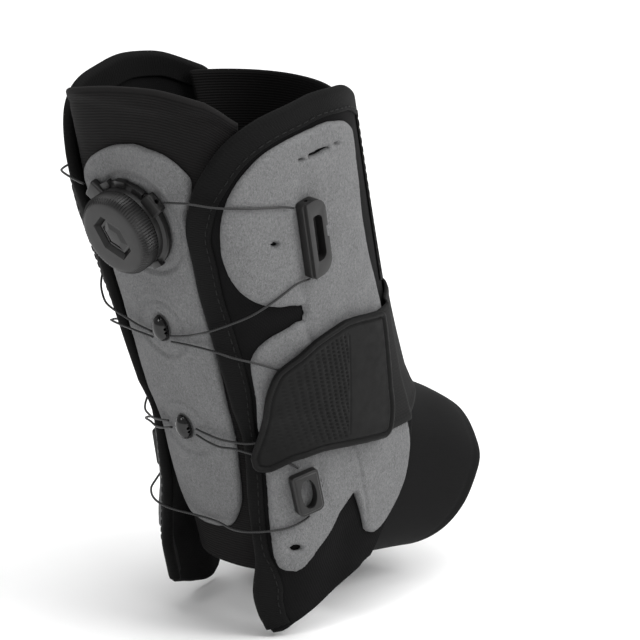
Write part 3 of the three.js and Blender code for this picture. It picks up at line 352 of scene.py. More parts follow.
class Form:
    """The form that the brace is laid out on, as stacked rounded sections."""

    def __init__(self) -> None:
        """Draws the curves through the sections and the lifts."""
        names = ("back", "wide", "front", "half", "far", "heel", "toe")
        self.section = {name: Curve(SECTIONS, "level", name) for name in names}
        self.panel_rear = Curve(PANEL_REAR, "level", "angle")
        self.panel_front = Curve(PANEL_FRONT, "level", "angle")
        self.flare = (Curve(FLARES, "level", "near"), Curve(FLARES, "level", "far"))

    def point(self, angle: np.ndarray, height: np.ndarray, off: np.ndarray) -> np.ndarray:
        """Gives points off the form's surface.

        Args:
            angle: Degrees from the rear centre towards -Y.
            height: Millimetres above the ankle's centre.
            off: Millimetres off the surface.

        Returns:
            The points, with X, Y and Z last.
        """
        angle, height, off = np.broadcast_arrays(*(np.asarray(a, float) for a in (angle, height, off)))
        level, turn = level_of(height), np.radians(angle)
        c, s = -np.cos(turn), -np.sin(turn)
        at = {name: curve(level) for name, curve in self.section.items()}
        rear = c < 0
        wide = at["wide"] * DEPTH
        reach = np.where(rear, wide - at["back"] * DEPTH, at["front"] * DEPTH - wide)
        half = np.where(s < 0, at["half"], at["far"]) * WIDTH
        power = np.where(rear, at["heel"], at["toe"])
        radius = ((np.abs(c) / reach) ** power + (np.abs(s) / half) ** power) ** (-1 / power)
        nx = np.sign(c) * np.abs(c * radius / reach) ** (power - 1) / reach
        ny = np.sign(s) * np.abs(s * radius / half) ** (power - 1) / half
        size = np.hypot(nx, ny)
        return np.stack([wide + c * radius + off * nx / size, s * radius + off * ny / size, height], -1)

    def lift(self, angle: np.ndarray, height: np.ndarray) -> np.ndarray:
        """Tells how far the side layers stand off over the tongue, in millimetres."""
        level = level_of(height)
        turned = np.where(np.asarray(angle) > 180, np.asarray(angle) - 360, angle)
        share = np.where(turned < 0, self.flare[1](level), self.flare[0](level))
        return FLARE * share * (1 - smooth((np.abs(turned) - self.panel_rear(level)) / LIFT_SPAN))

    def side(self, angle: np.ndarray, height: np.ndarray, off: np.ndarray) -> np.ndarray:
        """Gives points of the side layers, which are lifted at the rear."""
        return self.point(angle, height, np.asarray(off) + self.lift(angle, height))

    def degree(self, angle: np.ndarray, height: np.ndarray, off: float = PANEL_OUT) -> np.ndarray:
        """Measures the arc of one degree round the form, in millimetres."""
        ahead = self.point(np.asarray(angle) + 0.5, height, off)
        return np.linalg.norm(ahead - self.point(np.asarray(angle) - 0.5, height, off), axis=-1)

    def seat(self, place: Callable, angle: float, level: float, off: float, tilt: float = 0) -> Matrix:
        """Gives the frame of a hard piece, in metres: Z leaves the surface and Y points up it.

        Args:
            place: The layer's function from angle, height and offset to a point.
            angle: Degrees from the rear centre.
            level: Height as a level.
            off: Millimetres off the surface.
            tilt: Turn about the way out, in degrees.

        Returns:
            The frame as a matrix.
        """
        height = float(height_of(level))
        origin = Vector(place(angle, height, off)) * MM
        along = Vector(place(angle + 1, height, off) - place(angle - 1, height, off)).normalized()
        up = Vector(place(angle, height + 1, off) - place(angle, height - 1, off)).normalized()
        out = along.cross(up).normalized()
        frame_ = Matrix((along, out.cross(along), out)).transposed().to_4x4()
        return Matrix.Translation(origin) @ frame_ @ Matrix.Rotation(math.radians(tilt), 4, "Z")


FORM = Form()


class Side(Enum):
    """The brace's two sides. The value is the hand that turns an angle to that side."""

    NEAR = 1
    FAR = -1

    @property
    def tag(self) -> str:
        """The side's word in piece names."""
        return self.name.lower()

    @property
    def bottom(self) -> tuple:
        """The table of the side panel's bottom edge."""
        return PANEL_BOTTOM_NEAR if self is Side.NEAR else PANEL_BOTTOM_FAR

    def place(self, angle: np.ndarray, height: np.ndarray, off: np.ndarray) -> np.ndarray:
        """Gives points of this side's layers."""
        return FORM.side(self.value * np.asarray(angle), height, off)


def new_piece(name: str, points: np.ndarray, faces: Sequence, uv: Optional[np.ndarray] = None,
              period: float = 0) -> bpy.types.Object:
    """Makes a smooth closed mesh that faces outwards.

    Args:
        name: The piece's name.
        points: Its points in millimetres.
        faces: Its faces, as rows of point numbers.
        uv: A place on the cloth for each point, in millimetres.
        period: The cloth's length round a closed tube, where its two ends meet.

    Returns:
        The new object.
    """
    mesh = bpy.data.meshes.new(name)
    mesh.from_pydata((np.asarray(points) * MM).tolist(), [], [tuple(map(int, f)) for f in faces])
    if uv is not None:
        corner = np.empty(len(mesh.loops), int)
        mesh.loops.foreach_get("vertex_index", corner)
        places = uv[corner].copy()
        if period:
            start = np.repeat([p.loop_start for p in mesh.polygons], [p.loop_total for p in mesh.polygons])
            places[:, 0] += period * ((places[start, 0] - places[:, 0]) > period / 2)
            places[:, 0] -= period * ((places[:, 0] - places[start, 0]) > period / 2)
        mesh.uv_layers.new(name="Cloth").data.foreach_set("uv", places.astype(np.float32).ravel())
    mesh.calc_loop_triangles()
    corners = np.array([t.vertices[:] for t in mesh.loop_triangles])
    a, b, c = (np.asarray(points)[corners[:, k]] for k in range(3))
    if np.einsum("ij,ij->i", a, np.cross(b, c)).sum() < 0:
        mesh.flip_normals()
    mesh.polygons.foreach_set("use_smooth", [True] * len(mesh.polygons))
    piece = bpy.data.objects.new(name, mesh)
    bpy.context.scene.collection.objects.link(piece)
    return piece


def cloth_places(face: np.ndarray) -> np.ndarray:
    """Gives each point of a grid its place on the cloth, by the lengths along rows and columns."""
    across = np.linalg.norm(np.diff(face, axis=1), axis=-1)
    along = np.linalg.norm(np.diff(face, axis=0), axis=-1)
    u = np.concatenate([np.zeros((face.shape[0], 1)), np.cumsum(across, 1)], 1)
    v = np.concatenate([np.zeros((1, face.shape[1])), np.cumsum(along, 0)], 0)
    u = u - 0.5 * u[:, -1:]
    return np.stack([u, np.broadcast_to(v.mean(1, keepdims=True), u.shape)], -1)


def wall(name: str, inner: np.ndarray, outer: np.ndarray, closed: bool = False,
         round_rim: int = 5) -> bpy.types.Object:
    """Makes a wall of cloth between two grids of points, with a rounded rim.

    Args:
        name: The piece's name.
        inner: Points of the inner face.
        outer: Points of the outer face.
        closed: Whether the rows run round and meet.
        round_rim: Steps round the rim from face to face.

    Returns:
        The new object.
    """
    rows, cols = outer.shape[:2]
    count = rows * cols
    index = np.arange(count).reshape(rows, cols)
    places = cloth_places(outer)
    points, uvs = [outer.reshape(-1, 3), inner.reshape(-1, 3)], [places.reshape(-1, 2)] * 2
    c = np.arange(cols if closed else cols - 1)
    a, b = index[:-1][:, c], index[:-1][:, (c + 1) % cols]
    d, e = index[1:][:, c], index[1:][:, (c + 1) % cols]
    over, under = np.stack([a, b, e, d], -1), np.stack([a, d, e, b], -1) + count
    quads = [over.reshape(-1, 4), under.reshape(-1, 4)]
    if closed:
        rims = [(index[0], index[1]), (index[-1][::-1], index[-2][::-1])]
    else:
        loop = np.concatenate([index[0], index[1:, -1], index[-1, -2::-1], index[-2:0:-1, 0]])
        r, k = np.divmod(loop, cols)
        rims = [(loop, index[np.clip(r, 1, rows - 2), np.clip(k, 1, cols - 2)])]
    total = 2 * count
    flat_out, flat_in = points[0], points[1]
    for loop, within in rims:
        middle, half = (flat_out[loop] + flat_in[loop]) / 2, (flat_out[loop] - flat_in[loop]) / 2
        size = np.linalg.norm(half, axis=-1, keepdims=True)
        out = (flat_out[loop] + flat_in[loop] - flat_out[within] - flat_in[within]) / 2
        out = out - half * np.sum(out * half, -1, keepdims=True) / size**2
        out = out / np.linalg.norm(out, axis=-1, keepdims=True)
        previous = loop
        for step in range(1, round_rim + 1):
            turn = math.pi * step / round_rim
            if step < round_rim:
                ring = np.arange(total, total + len(loop))
                total += len(loop)
                points.append(middle + half * math.cos(turn) + out * size * math.sin(turn))
                uvs.append(places.reshape(-1, 2)[loop])
            else:
                ring = loop + count
            ahead, ring_ahead = np.roll(previous, -1), np.roll(ring, -1)
            quads.append(np.stack([ahead, previous, ring, ring_ahead], -1))
            previous = ring
    period = 0.0
    if closed:
        flat = places.reshape(-1, 2)
        period = float(np.ptp(flat[:, 0]) * cols / (cols - 1))
    return new_piece(name, np.concatenate(points), np.concatenate(quads), np.concatenate(uvs), period)


def tube(name: str, rings: np.ndarray, uv_round: float, loop: bool = False) -> bpy.types.Object:
    """Makes a closed surface through rings of points, with flat ends.

    Args:
        name: The piece's name.
        rings: The rings, one after another, in millimetres.
        uv_round: The cloth's width round a ring.
        loop: Whether the last ring meets the first.

    Returns:
        The new object.
    """
    steps, sides = rings.shape[:2]
    index = np.arange(steps * sides).reshape(steps, sides)
    a, b = index, np.roll(index, -1, 1)
    d, e = np.roll(index, -1, 0), np.roll(np.roll(index, -1, 0), -1, 1)
    quads = np.stack([a, b, e, d], -1)
    faces = list((quads if loop else quads[:-1]).reshape(-1, 4))
    if not loop:
        faces += [index[0][::-1], index[-1]]
    middle = rings.mean(1)
    run = np.concatenate([[0], np.cumsum(np.linalg.norm(np.diff(middle, axis=0), axis=-1))])
    uv = np.stack(np.broadcast_arrays(np.arange(sides)[None] * uv_round / sides, run[:, None]), -1)
    return new_piece(name, rings.reshape(-1, 3), faces, uv.reshape(-1, 2), uv_round)


def cord_rings(route: np.ndarray, radius: float, sides: int = 12) -> np.ndarray:
    """Gives the rings of a round cord along a route, turned as little as can be.

    Args:
        route: Points of the route, in millimetres.
        radius: The cord's radius.
        sides: Points in a ring.

    Returns:
        The rings.
    """
    ahead = np.gradient(route, axis=0)
    ahead /= np.linalg.norm(ahead, axis=-1, keepdims=True)
    side = np.cross(ahead[0], (0, 0, 1))
    rings = []
    turn = np.linspace(0, 2 * np.pi, sides, endpoint=False)[:, None]
    for point, way in zip(route, ahead):
        side = side - way * side.dot(way)
        side /= np.linalg.norm(side)
        rings.append(point + radius * (np.cos(turn) * side + np.sin(turn) * np.cross(way, side)))
    return np.array(rings)


def even_route(points: np.ndarray, step: float) -> np.ndarray:
    """Runs a rounded line through points and gives it back in even steps.

    Args:
        points: The points that it passes.
        step: Length of a step.

    Returns:
        Points along it.
    """
    p = np.concatenate([[2 * points[0] - points[1]], points, [2 * points[-1] - points[-2]]])
    t = np.linspace(0, 1, 13)[:-1, None]
    parts = []
    for p0, p1, p2, p3 in zip(p[:-3], p[1:-2], p[2:-1], p[3:]):
        bend = -p0 + 3 * p1 - 3 * p2 + p3
        sway = 2 * p0 - 5 * p1 + 4 * p2 - p3
        parts.append(0.5 * (2 * p1 + (p2 - p0) * t + sway * t**2 + bend * t**3))
    line = np.concatenate(parts + [points[-1:]])
    run = np.concatenate([[0], np.cumsum(np.linalg.norm(np.diff(line, axis=0), axis=-1))])
    at = np.linspace(0, run[-1], max(4, int(run[-1] / step) + 1))
    return np.stack([np.interp(at, run, line[:, k]) for k in range(line.shape[1])], -1)


def inside_polygon(x: np.ndarray, y: np.ndarray, corners: np.ndarray) -> np.ndarray:
    """Measures how far points lie inside a flat polygon: above zero within it."""
    p = np.stack([x, y], -1)
    nearest = np.full(x.shape, 1e9)
    within = np.zeros(x.shape, bool)
    for a, b in zip(corners, np.roll(corners, -1, 0)):
        way = b - a
        t = np.clip(((p - a) @ way) / (way @ way), 0, 1)
        nearest = np.minimum(nearest, np.linalg.norm(p - a - t[..., None] * way, axis=-1))
        crosses = (a[1] > y) != (b[1] > y)
        rise = b[1] - a[1] if b[1] != a[1] else 1e-9
        within ^= crosses & (x < (b[0] - a[0]) * (y - a[1]) / rise + a[0])
    return np.where(within, nearest, -nearest)


def soft_min(a: np.ndarray, b: np.ndarray, radius: float) -> np.ndarray:
    """The lesser of two distances, rounded where they meet."""
    share = np.clip(radius - np.abs(a - b), 0, None) / radius
    return np.minimum(a, b) - share**2 * radius / 4


# The depth that stands for none, in millimetres
TINY = 1e-4


@dataclass
class Applique:
    """A flat piece cut to an outline and laid on the form, with a shaped edge and face.

    Attributes:
        place: The layer's function from angle, height and offset to a point.
        inside: Distance within the outline at angles and heights, in millimetres.
        window: Lowest and highest angle and height that hold it.
        base: Offset of its underside.
        relief: Height of its face above the underside, from angle, height and depth within the edge.
        spacing: Size of its cells.
        snap: Share of a cell within which a point counts as on the outline.
        batch: Points whose depth is measured at a time.
    """

    place: Callable
    inside: Callable
    window: tuple[float, float, float, float]
    base: float
    relief: Callable
    spacing: float = 0.85
    snap: float = 0.12
    batch: int = 2000

    def build(self, name: str) -> bpy.types.Object:
        """Cuts it from a grid and shapes it.

        Args:
            name: The piece's name.

        Returns:
            The new object.
        """
        a0, a1, h0, h1 = self.window
        unit = float(np.mean(FORM.degree(np.linspace(a0, a1, 9), (h0 + h1) / 2)))
        angles = np.linspace(a0, a1, int((a1 - a0) * unit / self.spacing) + 2)
        heights = np.linspace(h0, h1, int((h1 - h0) / self.spacing) + 2)
        grid_a, grid_h = np.meshgrid(angles, heights)
        depth = self.inside(grid_a, grid_h)
        depth = np.where(np.abs(depth) < self.snap * self.spacing, TINY, depth).ravel()
        chart = np.stack([grid_a.ravel(), grid_h.ravel()], -1)
        index = np.arange(len(chart)).reshape(grid_a.shape)
        a, b, d, e = index[:-1, :-1], index[:-1, 1:], index[1:, :-1], index[1:, 1:]
        flip = (np.add.outer(np.arange(a.shape[0]), np.arange(a.shape[1])) % 2).astype(bool)
        first = np.where(flip[..., None], np.stack([a, b, d], -1), np.stack([a, b, e], -1))
        second = np.where(flip[..., None], np.stack([b, e, d], -1), np.stack([a, e, d], -1))
        triangles = np.concatenate([first.reshape(-1, 3), second.reshape(-1, 3)])
        kept = depth[triangles] > 0
        whole = triangles[kept.all(1)]
        mixed = triangles[kept.any(1) & ~kept.all(1)]
        chart, cuts = self._clip(chart, depth, mixed)
        faces = np.concatenate([whole, cuts])
        used, faces = np.unique(faces, return_inverse=True)
        return self._shape(name, chart[used], faces.reshape(-1, 3))

    @staticmethod
    def _clip(chart: np.ndarray, depth: np.ndarray, mixed: np.ndarray) -> tuple[np.ndarray, np.ndarray]:
        """Cuts the triangles that the outline crosses.

        Args:
            chart: The grid's points.
            depth: Distance within the outline at each.
            mixed: The triangles that it crosses.

        Returns:
            All points with the new ones, and the triangles that are left.
        """
        points, crossing, left = list(chart), {}, []

        def cross(i: int, j: int) -> int:
            """Gives the number of the point where the outline crosses an edge."""
            key = (min(i, j), max(i, j))
            if key not in crossing:
                t = depth[i] / (depth[i] - depth[j])
                crossing[key] = len(points)
                points.append(chart[i] + t * (chart[j] - chart[i]))
            return crossing[key]

        for triangle in mixed:
            ring = []
            for i, j in zip(triangle, np.roll(triangle, -1)):
                if depth[i] > 0:
                    ring.append(i)
                if (depth[i] > 0) != (depth[j] > 0):
                    ring.append(cross(i, j))
            left.extend([ring[0], ring[k], ring[k + 1]] for k in range(1, len(ring) - 1))
        return np.array(points), np.array(left, int).reshape(-1, 3)

    def _shape(self, name: str, chart: np.ndarray, faces: np.ndarray) -> bpy.types.Object:
        """Gives the cut sheet its thickness.

        Args:
            name: The piece's name.
            chart: Its points by angle and height.
            faces: Its triangles.

        Returns:
            The new object.
        """
        angle, height = chart.T
        edges = np.concatenate([faces[:, [0, 1]], faces[:, [1, 2]], faces[:, [2, 0]]])
        size = len(chart)
        code = edges[:, 0] * size + edges[:, 1]
        rim = edges[~np.isin(code, edges[:, 1] * size + edges[:, 0])]
        under = self.place(angle, height, self.base)
        border = np.unique(rim)
        middles = (under[rim[:, 0]] + under[rim[:, 1]]) / 2
        samples = np.concatenate([under[border], middles])
        depth = np.empty(size)
        for part in np.array_split(np.arange(size), max(1, size // self.batch)):
            gap = under[part][:, None] - samples[None]
            depth[part] = np.sqrt((gap**2).sum(-1).min(1))
        depth[border] = 0
        over = self.place(angle, height, self.base + self.relief(angle, height, depth))
        walls = np.stack([rim[:, 1], rim[:, 0], rim[:, 0] + size, rim[:, 1] + size], -1)
        unit = float(np.mean(FORM.degree(angle, height)))
        uv = np.stack([angle * unit, height], -1)
        shell = [*faces, *(faces[:, ::-1] + size), *walls]
        return new_piece(name, np.concatenate([over, under]), shell, np.concatenate([uv, uv]))


# Finishes


class Weave(Enum):
    """The surfaces that a finish can have."""

    KNIT = "knit"
    RIB = "rib"
    TAPE = "tape"
    ELASTIC = "elastic"
    FLOCK = "flock"
    MOULDED = "moulded"
    GRIP = "grip"
    POLISHED = "polished"
    BRAID = "braid"
    PAPER = "paper"


@dataclass(frozen=True)
class Finish:
    """A colour, a surface and how it takes the light.

    Attributes:
        name: The material's name.
        weave: Its surface.
        color: Its middle colour.
        rough: Its roughness.
        sheen: Weight of the light that fibres catch.
        depth: Depth of its surface, in millimetres.
        gloss: How much it mirrors, from 0 to 1.
        spread: How far its colour strays.
    """

    name: str
    weave: Weave
    color: tuple[float, float, float]
    rough: float
    sheen: float = 0.0
    depth: float = 0.1
    gloss: float = 0.5
    spread: float = 0.2

    def material(self) -> bpy.types.Material:
        """Makes its material once, and gives the same one after that.

        Returns:
            The material.
        """
        made = bpy.data.materials.get(self.name)
        return made if made else Dyer(self).dye()


PANEL_KNIT = Finish("padded_knit_black", Weave.KNIT, (0.0052, 0.0051, 0.0053), 0.95, 0.01, 0.09, 0.08, 0.35)
TONGUE_RIB = Finish("ribbed_knit_black", Weave.RIB, (0.0068, 0.0064, 0.0064), 0.9, 0.015, 0.12, 0.1, 0.3)
TAPE_BLACK = Finish("binding_tape_black", Weave.TAPE, (0.0029, 0.00285, 0.0029), 0.8, 0.01, 0.1, 0.1, 0.3)
WRAP_KNIT = Finish("stretch_knit_black", Weave.ELASTIC, (0.0034, 0.0034, 0.0035), 0.8, 0.01, 0.05, 0.1, 0.16)
STRAP_KNIT = Finish("strap_elastic_black", Weave.TAPE, (0.005, 0.0049, 0.0049), 0.75, 0.01, 0.08, 0.12, 0.25)
FLOCK_GREY = Finish("flock_grey", Weave.FLOCK, (0.1386, 0.1394, 0.1411), 1.0, 0.05, 0.5, 0.05, 0.4)
GRIP_GREY = Finish("grip_rubber_grey", Weave.GRIP, (0.0045, 0.00445, 0.0044), 0.6, 0.0, 0.05, 0.12, 0.1)
HARD_BLACK = Finish("hard_plastic_black", Weave.MOULDED, (0.0075, 0.0072, 0.0072), 0.4, 0.0, 0.02, 0.35, 0.15)
GLOSS_BLACK = Finish("gloss_plastic_black", Weave.POLISHED, (0.004, 0.004, 0.0041), 0.16, 0.0, 0.01, 0.4, 0.1)
LACE_BLACK = Finish("lace_cord_black", Weave.BRAID, (0.01, 0.01, 0.0103), 0.4, 0.0, 0.08, 0.4, 0.2)
THREAD_BLACK = Finish("thread_black", Weave.BRAID, (0.006, 0.006, 0.006), 0.7, 0.0, 0.05, 0.2, 0.2)
FLOOR_PALE = Finish("floor_pale", Weave.PAPER, (0.92, 0.92, 0.92), 0.9, 0.0, 0.05, 0.2, 0.01)


class Dyer:
    """Builds one finish's material from procedural nodes."""

    def __init__(self, finish: Finish) -> None:
        """Starts an empty material.

        Args:
            finish: The finish to build.
        """
        self.finish = finish
        self.material = bpy.data.materials.new(finish.name)
        self.material.use_nodes = True
        self.tree = self.material.node_tree
        self.tree.nodes.clear()
        self.out = self.tree.nodes.new("ShaderNodeOutputMaterial")
        self.shader = self.tree.nodes.new("ShaderNodeBsdfPrincipled")
        self.tree.links.new(self.shader.outputs["BSDF"], self.out.inputs["Surface"])
        self.shader.inputs["Roughness"].default_value = finish.rough
        self.shader.inputs["Specular IOR Level"].default_value = finish.gloss
        self.shader.inputs["Sheen Weight"].default_value = finish.sheen
        self.shader.inputs["Sheen Roughness"].default_value = 0.5
        self.coords = self.tree.nodes.new("ShaderNodeTexCoord")

    def node(self, kind: str, **values: float) -> bpy.types.Node:
        """Adds a node and sets its inputs by name.

        Args:
            kind: The node's type.
            **values: Inputs, with underscores for spaces in their names.

        Returns:
            The node.
        """
        made = self.tree.nodes.new(kind)
        for name, value in values.items():
            made.inputs[name.replace("_", " ")].default_value = value
        return made

    def link(self, source: bpy.types.NodeSocket, target: bpy.types.NodeSocket) -> None:
        """Joins two sockets."""
        self.tree.links.new(source, target)

    def noise(self, size: float, detail: float = 2, stretch: tuple = (1, 1, 1),
              distortion: float = 0) -> bpy.types.NodeSocket:
        """Adds grain.

        Args:
            size: Size of a grain, in millimetres.
            detail: How much finer grain is in it.
            stretch: Factors that squeeze it along each axis.
            distortion: How far it swirls.

        Returns:
            Its socket, from 0 to 1.
        """
        mapping = self.node("ShaderNodeMapping", Scale=stretch)
        self.link(self.coords.outputs["Object"], mapping.inputs["Vector"])
        grain = self.node("ShaderNodeTexNoise", Scale=1 / (size * MM), Detail=detail, Distortion=distortion)
        self.link(mapping.outputs["Vector"], grain.inputs["Vector"])
        return grain.outputs["Fac"]

    def wave(self, pitch: float, axis: str, turn: float = 0, distortion: float = 0) -> bpy.types.NodeSocket:
        """Adds even ribs over the cloth.

        Args:
            pitch: Distance from rib to rib, in millimetres.
            axis: X across the cloth or Y along it.
            turn: Turn of the ribs, in degrees.
            distortion: How far they wander.

        Returns:
            Its socket, from 0 to 1.
        """
        mapping = self.node("ShaderNodeMapping", Rotation=(0, 0, math.radians(turn)))
        self.link(self.coords.outputs["UV"], mapping.inputs["Vector"])
        ribs = self.node("ShaderNodeTexWave", Scale=math.pi / (10 * pitch), Distortion=distortion)
        ribs.bands_direction = axis
        self.link(mapping.outputs["Vector"], ribs.inputs["Vector"])
        return ribs.outputs["Fac"]

    def blend(self, kind: str, a: bpy.types.NodeSocket, b: object) -> bpy.types.NodeSocket:
        """Joins two values by arithmetic.

        Args:
            kind: The operation's name.
            a: The first value.
            b: The second, as a socket or a number.

        Returns:
            The result's socket.
        """
        joined = self.tree.nodes.new("ShaderNodeMath")
        joined.operation = kind
        self.link(a, joined.inputs[0])
        if isinstance(b, (int, float)):
            joined.inputs[1].default_value = b
        else:
            self.link(b, joined.inputs[1])
        return joined.outputs[0]

    def weigh(self, *parts: tuple[bpy.types.NodeSocket, float]) -> bpy.types.NodeSocket:
        """Adds values up, each by its weight.

        Args:
            *parts: Pairs of a value and its weight.

        Returns:
            The sum's socket.
        """
        total = None
        for value, weight in parts:
            share = value if weight == 1 else self.blend("MULTIPLY", value, weight)
            total = share if total is None else self.blend("ADD", total, share)
        return total

    def colour(self, value: bpy.types.NodeSocket, low: float = 0.3, high: float = 0.7) -> None:
        """Lets a value stray the colour to darker and lighter.

        Args:
            value: The value, from 0 to 1.
            low: Where it is darkest.
            high: Where it is lightest.
        """
        ramp = self.tree.nodes.new("ShaderNodeValToRGB")
        spread = self.finish.spread
        for stop, place, share in zip(ramp.color_ramp.elements, (low, high), (1 - spread, 1 + spread)):
            stop.position = place
            stop.color = (*(min(1.0, c * share) for c in self.finish.color), 1)
        self.link(value, ramp.inputs["Fac"])
        self.link(ramp.outputs["Color"], self.shader.inputs["Base Color"])

    def bump(self, value: bpy.types.NodeSocket, strength: float = 1.0) -> None:
        """Raises the surface by a value, in the finish's depth.

        Args:
            value: The height, from 0 to 1.
            strength: How strongly it shows.
        """
        relief = self.node("ShaderNodeBump", Strength=strength, Distance=self.finish.depth * MM)
        self.link(value, relief.inputs["Height"])
        self.link(relief.outputs["Normal"], self.shader.inputs["Normal"])

    def dye(self) -> bpy.types.Material:
        """Builds the nodes of the finish's surface.

        Returns:
            The material.
        """
        getattr(self, self.finish.weave.value)()
        return self.material

    def knit(self) -> None:
        """A fine looped knit: short stitches in staggered columns, with soft wear."""
        loops = self.blend("MULTIPLY", self.wave(0.9, "X", 28, 0.6), self.wave(0.9, "X", -28, 0.6))
        self.colour(self.weigh((loops, 0.45), (self.noise(14, 3), 0.55)))
        self.bump(self.weigh((loops, 1), (self.noise(0.5), 0.5)), 0.7)

    def rib(self) -> None:
        """Fine ribs across the cloth, crossed by short stitches."""
        ribs = self.wave(1.15, "Y", 0, 0.4)
        stitches = self.blend("MULTIPLY", ribs, self.wave(0.8, "X", 0, 0.8))
        self.colour(self.weigh((ribs, 0.55), (self.noise(9, 3), 0.45)))
        self.bump(self.weigh((ribs, 1), (stitches, 0.5)), 0.8)

    def tape(self) -> None:
        """A close twill with a slight rib across it."""
        twill = self.wave(0.75, "X", 52, 0.5)
        rib = self.wave(1.3, "Y", 0, 0.5)
        self.colour(self.weigh((twill, 0.4), (rib, 0.3), (self.noise(7, 2), 0.4)), 0.25, 0.8)
        self.bump(self.weigh((twill, 1), (rib, 0.5)), 0.7)

    def elastic(self) -> None:
        """A smooth stretch knit, its columns only just seen."""
        columns = self.blend("MULTIPLY", self.wave(0.7, "X", 0, 0.5), self.wave(0.9, "Y", 0, 0.5))
        self.colour(self.weigh((columns, 0.4), (self.noise(18, 2), 0.6)))
        self.bump(columns, 0.5)

    def flock(self) -> None:
        """A heathered pile: light and dark fibres in curls, flattened in patches."""
        curls = self.noise(0.6, 3.5, (1, 1, 0.62), 1.1)
        fibres = self.noise(0.28, 2, (1, 1, 0.5), 0.6)
        patches = self.noise(13, 2)
        self.colour(self.weigh((curls, 0.62), (fibres, 0.26), (patches, 0.12)), 0.33, 0.68)
        self.bump(self.weigh((curls, 1), (fibres, 0.6)), 0.75)
        self.shader.inputs["Sheen Roughness"].default_value = 0.7

    def moulded(self) -> None:
        """A satin moulding with fine grain and handled patches."""
        self.colour(self.noise(6, 3))
        self.bump(self.noise(0.3, 2), 0.5)
        self._handled(0.1)

    def grip(self) -> None:
        """A matt rubber face with fine grain and dull scuffs."""
        self.colour(self.noise(9, 4))
        self.bump(self.noise(0.25, 2), 0.6)
        self._handled(0.14)

    def polished(self) -> None:
        """A glossy moulding with faint ripples and handling marks."""
        self.colour(self.noise(5, 2))
        self.bump(self.noise(2.5, 1), 0.3)
        self._handled(0.08)

    def braid(self) -> None:
        """Strands that cross round a cord."""
        self.colour(self.blend("MULTIPLY", self.wave(0.8, "Y", 32), self.wave(0.8, "Y", -32)), 0.1, 0.6)
        self.bump(self.blend("ADD", self.wave(0.8, "Y", 32), self.wave(0.8, "Y", -32)), 0.6)

    def paper(self) -> None:
        """A plain pale floor with the faintest grain."""
        self.colour(self.noise(40, 2))
        self.bump(self.noise(1.5, 1), 0.1)

    def _handled(self, reach: float) -> None:
        """Lets the roughness stray over the piece.

        Args:
            reach: How far it strays.
        """
        span = self.node("ShaderNodeMapRange")
        span.inputs["To Min"].default_value = max(0.05, self.finish.rough - reach)
        span.inputs["To Max"].default_value = min(1.0, self.finish.rough + reach)
        self.link(self.noise(4, 3), span.inputs["Value"])
        self.link(span.outputs["Result"], self.shader.inputs["Roughness"])


def settle(piece: bpy.types.Object, finish: Finish, nodes: Sequence[str] = (),
           body: str = "brace") -> bpy.types.Object:
    """Dresses a finished piece, ties it to its body and hides the frame's nodes that it stands for.

    Args:
        piece: The finished piece.
        finish: Its finish.
        nodes: The frame's nodes that it stands for.
        body: The body that carries it.

    Returns:
        The piece.
    """
    piece.data.materials.clear()
    piece.data.materials.append(finish.material())
    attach(piece, body)
    if nodes:
        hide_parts(*nodes)
    log.info("%s: %d faces", piece.name, len(piece.data.polygons))
    return piece


# Soft pieces


